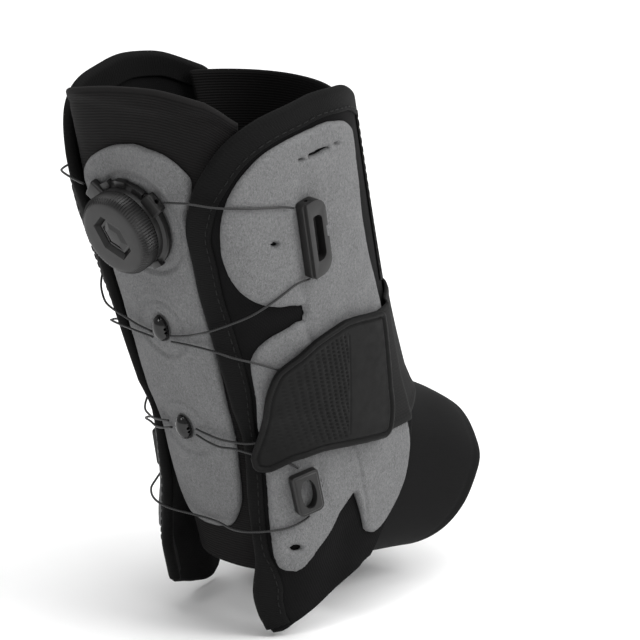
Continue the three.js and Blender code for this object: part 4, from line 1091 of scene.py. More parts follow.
@dataclass
class SidePanel:
    """A padded side panel with its tape edging and stitches.

    Attributes:
        side: Which side it is on.
        columns: Cells from its rear edge to its front edge.
        rows: Cells from its bottom to its top.
        inset: How far its edge lies inside the tape, in millimetres.
        foam: Height of its uneven swells.
        step: Length of one cell along the tape.
        nose: How far the tape's fold stands inside the edge.
        clear: Room between the tape and the plate.
        least: The tape's least width, where the plate comes close.
        steep: How straight down the edge runs where the plate is looked at.
        shares: Places of the points across a flat face of the tape, as shares of its width.
        lip: How far the tape's free edge is pressed down.
        allowance: The cloth that the tape's fold takes; not used.
        hem: Angle where the bottom edge starts, and the degrees that it spans, for the tape's end.
        stitch: Length of a stitch and the gap after it.
        sewn: How far inside the tape's free edge the stitches run.
    """

    side: Side
    columns: int = 72
    rows: int = 130
    inset: float = 1.7
    foam: float = 0.16
    step: float = 1.2
    nose: float = 1.4
    clear: float = 1.5
    least: float = 2.5
    steep: float = -0.8
    shares: tuple[float, ...] = (1.0, 0.93, 0.8, 0.55, 0.3)
    lip: float = 0.25
    allowance: float = 6.0
    hem: tuple[float, float] = (18.0, 60.0)
    stitch: tuple[float, float] = (2.6, 1.1)
    sewn: float = 1.6

    def at(self, u: np.ndarray, v: np.ndarray, inset: float = 0) -> tuple[np.ndarray, np.ndarray]:
        """Gives places on the panel.

        Args:
            u: Share of the way from rear to front.
            v: Share of the way from bottom to top.
            inset: How far inside its edges the shares end.

        Returns:
            The angles and heights.
        """
        top = height_of(Curve(PANEL_TOP, "along", "level")(u)) - inset
        bottom = height_of(Curve(self.side.bottom, "along", "level")(u)) + inset
        height = bottom + (top - bottom) * v
        level = level_of(height)
        rear, front = FORM.panel_rear(level), FORM.panel_front(level)
        rear = rear + inset / FORM.degree(self.side.value * rear, height)
        front = front - inset / FORM.degree(self.side.value * front, height)
        return rear + (front - rear) * u, height

    def panel(self) -> bpy.types.Object:
        """Builds the padded panel, softly uneven as foam is.

        Returns:
            The panel.
        """
        u, v = np.meshgrid(np.linspace(0, 1, self.columns + 1), np.linspace(0, 1, self.rows + 1))
        angle, height = self.at(u, v, self.inset)
        soft = self.foam * np.sin(0.11 * height + 0.05 * angle) * np.sin(0.09 * angle + 1)
        outer = self.side.place(angle, height, PANEL_OUT + soft)
        inner = self.side.place(angle, height, PANEL_IN + soft)
        piece = wall(f"padded_panel_{self.side.tag}", inner, outer)
        return settle(piece, PANEL_KNIT, [f"side_panel_{self.side.tag}"])

    def edge(self) -> tuple[np.ndarray, np.ndarray, np.ndarray]:
        """Walks the taped edge: up the front, back along the top and down the rear.

        Returns:
            The angles, the heights and the way along at each step, as unit vectors.
        """
        v = np.linspace(0, 1, 400)
        front = np.stack(self.at(np.ones_like(v), v), -1)
        top = np.stack(self.at(v[::-1], np.ones_like(v)), -1)
        rear = np.stack(self.at(np.zeros_like(v), v[::-1]), -1)
        path = np.concatenate([front[front[:, 1] > height_of(TAPE_END)], top[1:], rear[1:]])
        spots = self.side.place(path[:, 0], path[:, 1], PANEL_OUT)
        run = np.concatenate([[0], np.cumsum(np.linalg.norm(np.diff(spots, axis=0), axis=-1))])
        at = np.arange(0, run[-1], self.step)
        path = np.stack([np.interp(at, run, path[:, k]) for k in range(2)], -1)
        path = np.stack([blurred(path[:, k], 3) for k in range(2)], -1)
        scale = FORM.degree(self.side.value * path[:, 0], path[:, 1])
        way = np.gradient(path, axis=0) * np.stack([scale, np.ones_like(scale)], -1)
        return path[:, 0], path[:, 1], way / np.linalg.norm(way, axis=-1, keepdims=True)

    def within(self, depth: np.ndarray, off: np.ndarray) -> np.ndarray:
        """Gives points beside the taped edge.

        Args:
            depth: Millimetres inside the edge, as columns.
            off: Millimetres off the form, as columns.

        Returns:
            The points, a row for each step.
        """
        angle, height, way = self.edge()
        angle, height = angle[:, None], height[:, None]
        turned = angle - way[:, 1:] * depth / FORM.degree(self.side.value * angle, height)
        start, span = self.hem
        along = np.clip((turned - start) / span, 0, 1)
        low = height_of(Curve(self.side.bottom, "along", "level")(along))
        return self.side.place(turned, np.maximum(height + way[:, :1] * depth, low), off)

    def width(self) -> np.ndarray:
        """Gives the tape's width at each step of the edge, less where the plate comes close."""
        angle, height, way = self.edge()
        scale = FORM.degree(self.side.value * angle, height)
        room = (Curve(PLATE_REAR, "level", "angle")(level_of(height)) - angle) * scale - self.clear
        narrow = np.clip(room, self.least, TAPE_WIDTH)
        return blurred(np.where(way[:, 1] < self.steep, narrow, TAPE_WIDTH), 6)[:, None]

    def tape(self) -> bpy.types.Object:
        """Builds the tape that is folded over the edge.

        Returns:
            The tape.
        """
        width = self.width()
        middle, half = (PANEL_OUT + PANEL_IN) / 2, (PANEL_OUT - PANEL_IN) / 2
        outer, inner = half + TAPE_GAP + TAPE, half + TAPE_GAP
        flat, turn = np.array(self.shares), np.radians(np.linspace(90, -90, 13))
        none, fold = np.zeros_like(flat), np.zeros_like(turn)
        share = np.concatenate([flat, fold, flat[::-1], flat, fold, flat[::-1]])
        bend = np.concatenate([none, -outer * np.cos(turn), none, none, -inner * np.cos(turn[::-1]), none])
        off = np.concatenate([
            none + outer, outer * np.sin(turn), none - outer,
            none - inner, inner * np.sin(turn[::-1]), none + inner,
        ])
        off[0] -= self.lip
        rings = self.within(self.nose + (width - self.nose) * share + bend, middle + off)
        piece = tube(f"binding_tape_{self.side.tag}", rings, 2 * (2 * TAPE_WIDTH + 7))
        f"padded_panel_{self.side.tag}"
        return settle(piece, TAPE_BLACK, [f"side_binding_{self.side.tag}"])

    def stitches(self) -> bpy.types.Object:
        """Sews a line of stitches along the tape's inner edge.

        Returns:
            The thread, as one piece of many short stitches.
        """
        face = PANEL_OUT + TAPE_GAP + TAPE
        line = self.within(self.width() - self.sewn, face + THREAD_PROUD)[4:-4, 0]
        return sew(f"binding_stitches_{self.side.tag}", line, self.stitch)


def spun(turn: float, axis: str = "Z") -> Matrix:
    """Gives a turn about an axis, in degrees."""
    return Matrix.Rotation(math.radians(turn), 4, axis)


def moved(x: float, y: float, z: float) -> Matrix:
    """Gives a shift, in millimetres."""
    return Matrix.Translation((x * MM, y * MM, z * MM))


# Threads: how far they stand proud, the faces round them and the cloth place of each, and the
# shares of a stitch with its thickness there
THREAD_PROUD = 0.12
THREAD_SIDES = 6
STITCH_WRAP = 0.25
STITCH_SHARES = np.array([0, 0.12, 0.5, 0.88, 1.0])
STITCH_SWELL = np.array([0.35, 0.85, 1.0, 0.85, 0.35])


def sew(name: str, line: np.ndarray, stitch: tuple[float, float],
        radius: float = 0.24) -> bpy.types.Object:
    """Lays short stitches along a line.

    Args:
        name: The piece's name.
        line: Points of the line, in millimetres.
        stitch: Length of a stitch and the gap after it.
        radius: The thread's radius.

    Returns:
        The thread, as one piece.
    """
    run = np.concatenate([[0], np.cumsum(np.linalg.norm(np.diff(line, axis=0), axis=-1))])
    points, faces, uvs = [], [], []
    sides, shares = THREAD_SIDES, STITCH_SHARES
    for start in np.arange(0, run[-1] - stitch[0], sum(stitch)):
        at = start + shares * stitch[0]
        route = np.stack([np.interp(at, run, line[:, k]) for k in range(3)], -1)
        rings = cord_rings(route, radius, sides)
        rings = route[:, None] + (rings - route[:, None]) * STITCH_SWELL[:, None, None]
        base = len(points) * len(shares) * sides
        index = base + np.arange(len(shares) * sides).reshape(len(shares), sides)
        a, b = index[:-1], np.roll(index[:-1], -1, 1)
        d, e = index[1:], np.roll(index[1:], -1, 1)
        faces += list(np.stack([a, b, e, d], -1).reshape(-1, 4)) + [index[0][::-1], index[-1]]
        points.append(rings.reshape(-1, 3))
        places = np.stack(np.broadcast_arrays(np.arange(sides)[None] * STITCH_WRAP, at[:, None]), -1)
        uvs.append(places.reshape(-1, 2))
    piece = new_piece(name, np.concatenate(points), faces, np.concatenate(uvs))
    return settle(piece, THREAD_BLACK)


def dome_edge(depth: np.ndarray, radius: float) -> np.ndarray:
    """Rises from 0 at an edge to 1 over a radius, as a quarter round."""
    t = np.clip(1 - depth / radius, 0, 1)
    return np.sqrt(1 - t * t)


def groove(distance: np.ndarray, width: float) -> np.ndarray:
    """A soft furrow: 1 on a line and 0 beyond its width."""
    return np.exp(-((distance / width) ** 2))


def line_distance(x: np.ndarray, y: np.ndarray, line: np.ndarray) -> np.ndarray:
    """Measures how far points are from a line through corners, in its own units."""
    p = np.stack([x, y], -1)
    nearest = np.full(x.shape, 1e9)
    for a, b in zip(line[:-1], line[1:]):
        way = b - a
        t = np.clip(((p - a) @ way) / (way @ way), 0, 1)
        nearest = np.minimum(nearest, np.linalg.norm(p - a - t[..., None] * way, axis=-1))
    return nearest


@dataclass
class SidePlate:
    """A grey flocked plate on the side panel, with its notch, V cut, slit, holes and folds.

    Attributes:
        side: Which side it is on.
        unit: Millimetres in a degree, for its flat layout.
        stay: The fold over the stay inside it.
        seam: The line of dark stitches beside the lower guide.
        holes: Angle, level and diameter of each pin hole.
    """

    side: Side
    unit: float = 0.8
    stay: tuple[Edge, ...] = (
        Edge(0.42, 60), Edge(0.336, 59.7), Edge(0.27, 57.4), Edge(0, 64), Edge(-0.293, 69.8),
        Edge(-0.383, 69), Edge(-0.487, 68.7), Edge(-0.604, 68.8), Edge(-0.719, 68.2),
    )
    seam: tuple[Edge, ...] = (
        Edge(-0.303, 47.7), Edge(-0.386, 46.2), Edge(-0.471, 45.6), Edge(-0.545, 46), Edge(-0.576, 46.7),
    )
    holes: tuple[tuple[float, float, float], ...] = ((52.4, 0.574, 1.8), (31.7, -0.753, 2.6))

    def flat(self, line: Sequence[Edge]) -> np.ndarray:
        """Lays a table of angles and levels out flat, in millimetres."""
        return np.array([(row.angle * self.unit, float(height_of(row.level))) for row in line])

    def inside(self, angle: np.ndarray, height: np.ndarray) -> np.ndarray:
        """Measures how far places lie within the plate's outline and cuts."""
        level = level_of(height)
        rear, front = Curve(PLATE_REAR, "level", "angle"), Curve(PLATE_FRONT, "level", "angle")
        low, high = height_of(PLATE_REAR[0].level), height_of(PLATE_REAR[-1].level)
        depth = soft_min((angle - rear(level)) * self.unit, (front(level) - angle) * self.unit, 2)
        depth = soft_min(depth, soft_min(height - low, high - height, 2), 4)
        x = angle * self.unit
        for corners in (PLATE_NOTCH, PLATE_VEE, PLATE_SLIT):
            depth = np.minimum(depth, -inside_polygon(x, height, self.flat(corners)))
        for turn, at, diameter in self.holes:
            reach = np.hypot(x - turn * self.unit, height - height_of(at))
            depth = np.minimum(depth, reach - diameter / 2)
        return depth

    def relief(self, angle: np.ndarray, height: np.ndarray, depth: np.ndarray) -> np.ndarray:
        """Shapes the plate's face: a soft edge, the fold over the stay and pressed places."""
        x = angle * self.unit
        thick = 0.35 + (SIDE_PLATE + 0.1) * dome_edge(depth, 2.0)
        stay = self.flat(self.stay)
        thick = thick - 0.75 * groove(line_distance(x, height, stay), 0.9)
        beside = line_distance(x, height, stay - np.array([3.2, 0]))
        thick = thick + 0.4 * groove(beside, 2.2)
        thick = thick - 0.5 * groove(line_distance(x, height, self.flat(self.seam)), 0.8)
        thick = thick + 0.12 * np.sin(0.31 * x + 0.11 * height) * np.sin(0.23 * height - 0.17 * x)
        return np.maximum(thick, 0.3)

    def plate(self) -> bpy.types.Object:
        """Cuts and shapes the plate.

        Returns:
            The plate.
        """
        low, high = float(height_of(PLATE_REAR[0].level)), float(height_of(PLATE_REAR[-1].level))
        window = (24, 120, low - 1, high + 1)
        cut = Applique(self.side.place, self.inside, window, PANEL_OUT + 0.25, self.relief)
        piece = cut.build(f"flocked_plate_{self.side.tag}")
        settle(piece, FLOCK_GREY, [f"side_plate_{self.side.tag}"])
        line = self.flat(self.seam)
        route = even_route(self.side.place(line[:, 0] / self.unit, line[:, 1], PANEL_OUT + 1.75), 0.5)
        sew(f"plate_stitches_{self.side.tag}", route, (1.7, 1.0), 0.3)
        return piece


@dataclass
class RearPlate:
    """The grey plate at the rear, pressed into rings round the guides and the dial.

    Attributes:
        rings: Angle, level and radius in millimetres of each pressed ring.
        unit: Millimetres in a degree at the rear.
    """

    rings: tuple[tuple[float, float, float], ...] = ((0, 0.25, 12.0), (0, -0.148, 12.0), (3, 0.607, 20.5))
    unit: float = 0.95

    def inside(self, angle: np.ndarray, height: np.ndarray) -> np.ndarray:
        """Measures how far places lie within the plate's outline."""
        level = level_of(height)
        near, far = (Curve(REAR_PLATE_EDGE, "level", name)(level) for name in ("near", "far"))
        low, high = height_of(REAR_PLATE_EDGE[0].level), height_of(REAR_PLATE_EDGE[-1].level)
        ends = soft_min(height - low, high - height, 2)
        return soft_min(soft_min(near - angle, far + angle, 3) * self.unit, ends, 3)

    def relief(self, angle: np.ndarray, height: np.ndarray, depth: np.ndarray) -> np.ndarray:
        """Shapes the plate's face: a soft edge, and rings pressed round the hard pieces."""
        x = angle * self.unit
        thick = 0.4 + (REAR_PLATE - 0.2) * dome_edge(depth, 2.2)
        for turn, level, radius in self.rings:
            reach = np.hypot(x - turn * self.unit, (height - height_of(level)) * 1.04)
            thick = thick - 0.75 * groove(reach - radius, 1.1) + 0.3 * groove(reach - radius - 2.2, 1.3)
            thick = thick - 0.4 * (1 - smooth((reach - radius * 0.35) / 3))
        thick = thick + 0.1 * np.sin(0.35 * x + 0.14 * height) * np.sin(0.21 * height)
        return np.maximum(thick, 0.3)

    def build(self) -> bpy.types.Object:
        """Cuts and shapes the plate.

        Returns:
            The plate.
        """
        low, high = (float(height_of(REAR_PLATE_EDGE[k].level)) for k in (0, -1))
        cut = Applique(FORM.point, self.inside, (-30, 35, low - 1, high + 1), TONGUE + 0.2, self.relief, 0.75)
        piece = cut.build("flocked_rear_plate")
        return settle(piece, FLOCK_GREY, ["rear_plate"])


@dataclass
class Tongue:
    """The ribbed tongue behind the dial, rolled outwards at its top.

    Attributes:
        columns: Cells across it.
        rows: Cells up it.
    """

    columns: int = 90
    rows: int = 150

    def build(self) -> bpy.types.Object:
        """Builds the tongue.

        Returns:
            The tongue.
        """
        u, v = np.meshgrid(np.linspace(-1, 1, self.columns + 1), np.linspace(0, 1, self.rows + 1))
        top = height_of(Curve(TONGUE_TOP, "along", "level")(u))
        low = float(height_of(TONGUE_BOTTOM))
        height = low + (top - low) * v
        level = level_of(height)
        near, far = (Curve(TONGUE_EDGE, "level", name)(level) for name in ("near", "far"))
        angle = u * np.where(u > 0, near, far)
        roll = TONGUE_ROLL * smooth((level - TONGUE_ROLL_FROM) / (1 - TONGUE_ROLL_FROM))
        lip = 0.5 * groove((top - height) - 1.0, 1.3) - 0.35 * groove((top - height) - 4.2, 0.8)
        soft = 0.2 * np.sin(0.07 * height + 2) * np.sin(0.1 * angle)
        outer = FORM.point(angle, height, roll + lip + soft + TONGUE)
        inner = FORM.point(angle, height, roll - 0.3 * groove(top - height, 1.5))
        piece = wall("ribbed_tongue", inner, outer)
        return settle(piece, TONGUE_RIB, ["rear_tongue"])


@dataclass
class FrontPanel:
    """The thin knit panel between the side panels at the front."""

    columns: int = 60
    rows: int = 60

    def build(self) -> bpy.types.Object:
        """Builds the panel with soft creases above the strap.

        Returns:
            The panel.
        """
        sweep = np.linspace(FRONT_EDGE, 360 - FRONT_EDGE, self.columns + 1)
        angle, v = np.meshgrid(sweep, np.linspace(0, 1, self.rows + 1))
        height = height_of(FRONT_BOTTOM) + (height_of(FRONT_TOP) - height_of(FRONT_BOTTOM)) * v
        crease = 0.35 * np.sin(0.33 * height + 0.03 * (angle - 180)) * np.exp(-(((height - 58) / 20) ** 2))
        outer = FORM.point(angle, height, FRONT_PANEL + crease)
        inner = FORM.point(angle, height, crease)
        piece = wall("knit_front_panel", inner, outer)
        return settle(piece, TONGUE_RIB, ["front_panel"])


@dataclass
class FootWrap:
    """The stretch wrap round the instep and sole, open at the heel and toes.

    Attributes:
        turns: Cells round it.
        steps: Cells from its rear ring to its mouth.
    """

    turns: int = 144
    steps: int = 48

    def ring_ends(self) -> tuple[np.ndarray, np.ndarray]:
        """Gives the rear ring and the mouth.

        Returns:
            Their points, one for each turn.
        """
        turn = np.linspace(0, 360, self.turns, endpoint=False)
        half = np.minimum(turn, 360 - turn)
        hand = np.where(turn <= 180, 1, -1)
        last = WRAP_REAR[-1].turn
        held = np.minimum(half, last)
        rear = FORM.point(hand * Curve(WRAP_REAR, "turn", "angle")(held),
                          height_of(Curve(WRAP_REAR, "turn", "level")(held)), -WRAP_SINK)
        under = np.clip((half - last) / (180 - last), 0, 1)
        arc = under * np.pi / 2
        low = -SOLE - WRAP_DROP
        x = rear[:, 0] + (WRAP_SOLE_REAR * DEPTH - rear[:, 0]) * smooth(under)
        z = rear[:, 2] + (low - rear[:, 2]) * np.sin(arc)
        rear = np.stack([x, rear[:, 1] * np.cos(arc), z], -1)
        mouth = np.stack([
            Curve(WRAP_MOUTH, "turn", "x")(half) * DEPTH,
            -hand * Curve(WRAP_MOUTH, "turn", "side")(half) * WIDTH,
            height_of(Curve(WRAP_MOUTH, "turn", "level")(half)),
        ], -1)
        return rear, mouth

    def build(self) -> bpy.types.Object:
        """Builds the wrap, drawn in over the instep.

        Returns:
            The wrap.
        """
        rear, mouth = self.ring_ends()
        t = np.linspace(0, 1, self.steps + 1)[:, None, None]
        inner = rear + (mouth - rear) * t
        draw = WRAP_WAIST * np.sin(np.pi * t[..., 0]) * np.clip(1 - inner[..., 2] / height_of(-0.6), 0, None)
        inner = inner - draw[..., None] * np.array([1, 0, 1])
        for _ in range(6):
            inner = (np.roll(inner, 1, 1) + 2 * inner + np.roll(inner, -1, 1)) / 4
        around = np.roll(inner, -1, 1) - np.roll(inner, 1, 1)
        out = np.cross(around, np.gradient(inner, axis=0))
        out /= np.linalg.norm(out, axis=-1, keepdims=True)
        centre = inner * np.array([1, 0, 0]) + np.array([0, 0, float(height_of(-0.45))])
        out *= np.sign(np.sum(out * (inner - centre), -1, keepdims=True))
        out[0, :, 0] = 0
        out[0] /= np.linalg.norm(out[0], axis=-1, keepdims=True)
        out[1:4] = out[1:4] + (out[0] - out[1:4]) * np.array([0.75, 0.5, 0.25])[:, None, None]
        hem = 0.18 * groove((1 - t[..., 0]) * 60 - 4, 0.7)
        outer = inner + out * (FOOT_WRAP - hem[..., None])
        piece = wall("stretch_foot_wrap", inner[:, ::-1], outer[:, ::-1], closed=True)
        return settle(piece, WRAP_KNIT, ["foot_wrap"])


@dataclass
class AnkleStrap:
    """The elastic strap round the front of the ankle."""

    columns: int = 150
    rows: int = 28

    def build(self) -> bpy.types.Object:
        """Builds the strap with a thicker selvedge along both edges.

        Returns:
            The strap.
        """
        low, high = Curve(STRAP_EDGES, "angle", "low"), Curve(STRAP_EDGES, "angle", "high")
        bed = Curve(STRAP_EDGES, "angle", "bed")
        angle, v = np.meshgrid(np.linspace(STRAP_EDGES[0].angle, STRAP_EDGES[-1].angle, self.columns + 1),
                               np.linspace(0, 1, self.rows + 1))
        bottom, top = height_of(low(angle)), height_of(high(angle))
        height = bottom + (top - bottom) * v
        ridge = 0.3 * groove(np.minimum(height - bottom, top - height) - 1.6, 0.9)
        inner = FORM.side(angle, height, bed(angle) * STRAP_IN)
        outer = FORM.side(angle, height, bed(angle) * STRAP_IN + STRAP - 0.15 + ridge)
        piece = wall("elastic_ankle_strap", inner, outer)
        return settle(piece, STRAP_KNIT, ["ankle_strap"])


@dataclass
class StrapTab:
    """The moulded gripping tab at the strap's end.

    Attributes:
        unit: Millimetres in a degree, for its flat layout.
        border: Width of its raised border.
        pitch: Distance between the pits of its grip field, across and up.
    """

    unit: float = 0.82
    border: float = 1.9
    pitch: tuple[float, float] = (2.3, 1.75)

    def inside(self, angle: np.ndarray, height: np.ndarray) -> np.ndarray:
        """Measures how far places lie within the tab's outline."""
        low, high = Curve(TAB_EDGES, "angle", "low"), Curve(TAB_EDGES, "angle", "high")
        depth = soft_min(height - height_of(low(angle)), height_of(high(angle)) - height, 3)
        ends = soft_min(angle - TAB_EDGES[0].angle, TAB_EDGES[-1].angle - angle, 2) * self.unit
        return soft_min(depth, ends, 3)

    def relief(self, angle: np.ndarray, height: np.ndarray, depth: np.ndarray) -> np.ndarray:
        """Shapes the tab's face: a raised border, a groove inside it and a field of pits."""
        thick = TAB - 0.7 * (1 - dome_edge(depth, 0.9))
        thick = thick - 1.0 * groove(depth - self.border - 0.35, 0.42)
        thick = thick - 0.45 * smooth((depth - self.border - 0.2) / 0.5)
        x = angle * self.unit
        across, up = self.pitch
        column = np.round(x / across)
        row_y = height / up - 0.5 * (column % 2)
        pit = np.hypot(x - column * across, (row_y - np.round(row_y)) * up)
        level = level_of(height)
        end = 64.1 + (73.7 - 64.1) * (level + 0.147) / 0.325
        edge = np.minimum((end - angle) * self.unit, depth - self.border - 2.4)
        field = smooth(edge / 0.4 + 0.5) * (height > height_of(-0.2))
        fade = 0.35 + 0.65 * smooth((angle - 34) / 26)
        thick = thick - 0.55 * field * fade * smooth((0.75 - pit) / 0.45)
        return thick - 0.3 * groove((end - angle) * self.unit + 0.9, 0.35) * (depth > self.border + 3.4)

    def build(self) -> bpy.types.Object:
        """Builds the tab.

        Returns:
            The tab.
        """
        window = (25.5, 105.5, float(height_of(-0.33)), float(height_of(0.29)))
        cut = Applique(FORM.side, self.inside, window, TAB_IN, self.relief, 0.42)
        return settle(cut.build("moulded_strap_tab"), GRIP_GREY, ["strap_tab"])


@dataclass
class Lacing:
    """The lace's runs between the dial and the guides.

    Attributes:
        step: Length of one cell along a lace.
    """

    step: float = 1.0

    @staticmethod
    def spot(row: Lay, hand: int) -> tuple[float, float, float]:
        """Gives a row's angle, height and offset on one side."""
        height = float(height_of(row.level))
        if row.bare is not None:
            return hand * row.angle, height, REAR_PLATE_OUT + row.bare
        return hand * row.angle, height, LACE_BED + row.lift + float(FORM.lift(row.angle, height))

    def run(self, name: str, chart: Sequence[tuple[float, float, float]]) -> bpy.types.Object:
        """Builds one run of lace.

        Args:
            name: The frame's node that it stands for.
            chart: The angles, heights and offsets that it passes.

        Returns:
            The lace.
        """
        spots = even_route(np.array(chart, float), 2.0)
        route = even_route(FORM.point(spots[:, 0], spots[:, 1], spots[:, 2]), self.step)
        piece = tube("cord_" + name, cord_rings(route, LACE / 2), math.pi * LACE)
        return settle(piece, LACE_BLACK, [name])

    def build(self) -> None:
        """Builds every run."""
        for side in Side:
            for run, rows in LACE_RUNS.items():
                self.run(f"{run}_{side.tag}", [self.spot(row, side.value) for row in rows])
        half = [self.spot(row, 1) for row in LACE_HEEL]
        rest = [(-angle, height, off) for angle, height, off in half[:-1]]
        self.run("lace_heel", half + rest[::-1])


# Hard pieces


class Bench:
    """Small hand tools for modelling hard pieces with Blender's own operators."""

    @staticmethod
    def clear() -> None:
        """Leaves edit mode and drops every selection."""
        if bpy.context.object and bpy.context.object.mode != "OBJECT":
            bpy.ops.object.mode_set(mode="OBJECT")
        bpy.ops.object.select_all(action="DESELECT")

    @staticmethod
    def pick(piece: bpy.types.Object, test: Callable[[bpy.types.MeshPolygon], bool]) -> None:
        """Selects the faces that pass a test and opens edit mode on them.

        Args:
            piece: The piece.
            test: Whether a face is wanted.
        """
        Bench.clear()
        piece.select_set(True)
        bpy.context.view_layer.objects.active = piece
        bpy.ops.object.mode_set(mode="EDIT")
        bpy.ops.mesh.select_mode(type="FACE")
        bpy.ops.mesh.select_all(action="DESELECT")
        bpy.ops.object.mode_set(mode="OBJECT")
        for face in piece.data.polygons:
            face.select = test(face)
        bpy.ops.object.mode_set(mode="EDIT")

    @staticmethod
    def raise_face(up: float, scale: float = 1.0) -> None:
        """Extrudes what is selected along Z and scales its end, in metres."""
        bpy.ops.mesh.extrude_region_move(TRANSFORM_OT_translate={"value": (0, 0, up)})
        if scale != 1.0:
            bpy.ops.transform.resize(value=(scale, scale, 1))

    @staticmethod
    def cylinder(name: str, radius: float, depth: float, sides: int, low: float = 0) -> bpy.types.Object:
        """Adds a cylinder that stands on a height, sizes in millimetres."""
        Bench.clear()
        bpy.ops.mesh.primitive_cylinder_add(vertices=sides, radius=radius * MM, depth=depth * MM,
                                            location=(0, 0, (low + depth / 2) * MM))
        piece = bpy.context.object
        bpy.ops.object.transform_apply(location=True, rotation=True, scale=True)
        piece.name = name
        return piece

    @staticmethod
    def box(name: str, size: tuple, middle: tuple, turn: float = 0) -> bpy.types.Object:
        """Adds a box, sizes in millimetres, turned about Z in degrees."""
        Bench.clear()
        spin = (0, 0, math.radians(turn))
        bpy.ops.mesh.primitive_cube_add(size=1, location=[c * MM for c in middle], rotation=spin)
        piece = bpy.context.object
        piece.scale = [s * MM for s in size]
        bpy.ops.object.transform_apply(location=True, rotation=True, scale=True)
        piece.name = name
        return piece

    @staticmethod
    def round_edges(piece: bpy.types.Object, width: float, steps: int = 2, angle: float = 35) -> None:
        """Bevels the piece's sharp edges, width in millimetres."""
        bevel = piece.modifiers.new("edges", "BEVEL")
        bevel.width, bevel.segments = width * MM, steps
        bevel.limit_method, bevel.angle_limit = "ANGLE", math.radians(angle)
        Bench.apply(piece, bevel)

    @staticmethod
    def apply(piece: bpy.types.Object, modifier: bpy.types.Modifier) -> None:
        """Applies a modifier."""
        Bench.clear()
        piece.select_set(True)
        bpy.context.view_layer.objects.active = piece
        bpy.ops.object.modifier_apply(modifier=modifier.name)

    @staticmethod
    def combine(piece: bpy.types.Object, tool: bpy.types.Object, kind: str) -> None:
        """Joins or cuts a piece with a tool, which goes.

        Args:
            piece: The piece that stays.
            tool: The tool.
            kind: UNION or DIFFERENCE.
        """
        boolean = piece.modifiers.new("boolean", "BOOLEAN")
        boolean.object, boolean.operation, boolean.solver = tool, kind, "EXACT"
        Bench.apply(piece, boolean)
        bpy.data.objects.remove(tool, do_unlink=True)

    @staticmethod
    def finish(piece: bpy.types.Object, seat: Matrix, angle: float = 32) -> bpy.types.Object:
        """Shades a piece and moves its mesh to its seat.

        Args:
            piece: The piece, modelled at the origin.
            seat: Its place.
            angle: Degrees past which an edge stays sharp.

        Returns:
            The piece.
        """
        Bench.clear()
        piece.select_set(True)
        bpy.context.view_layer.objects.active = piece
        bpy.ops.object.shade_smooth_by_angle(angle=math.radians(angle))
        piece.data.transform(seat)
        if seat.determinant() < 0:
            piece.data.flip_normals()
        piece.data.update()
        piece.select_set(False)
        return piece


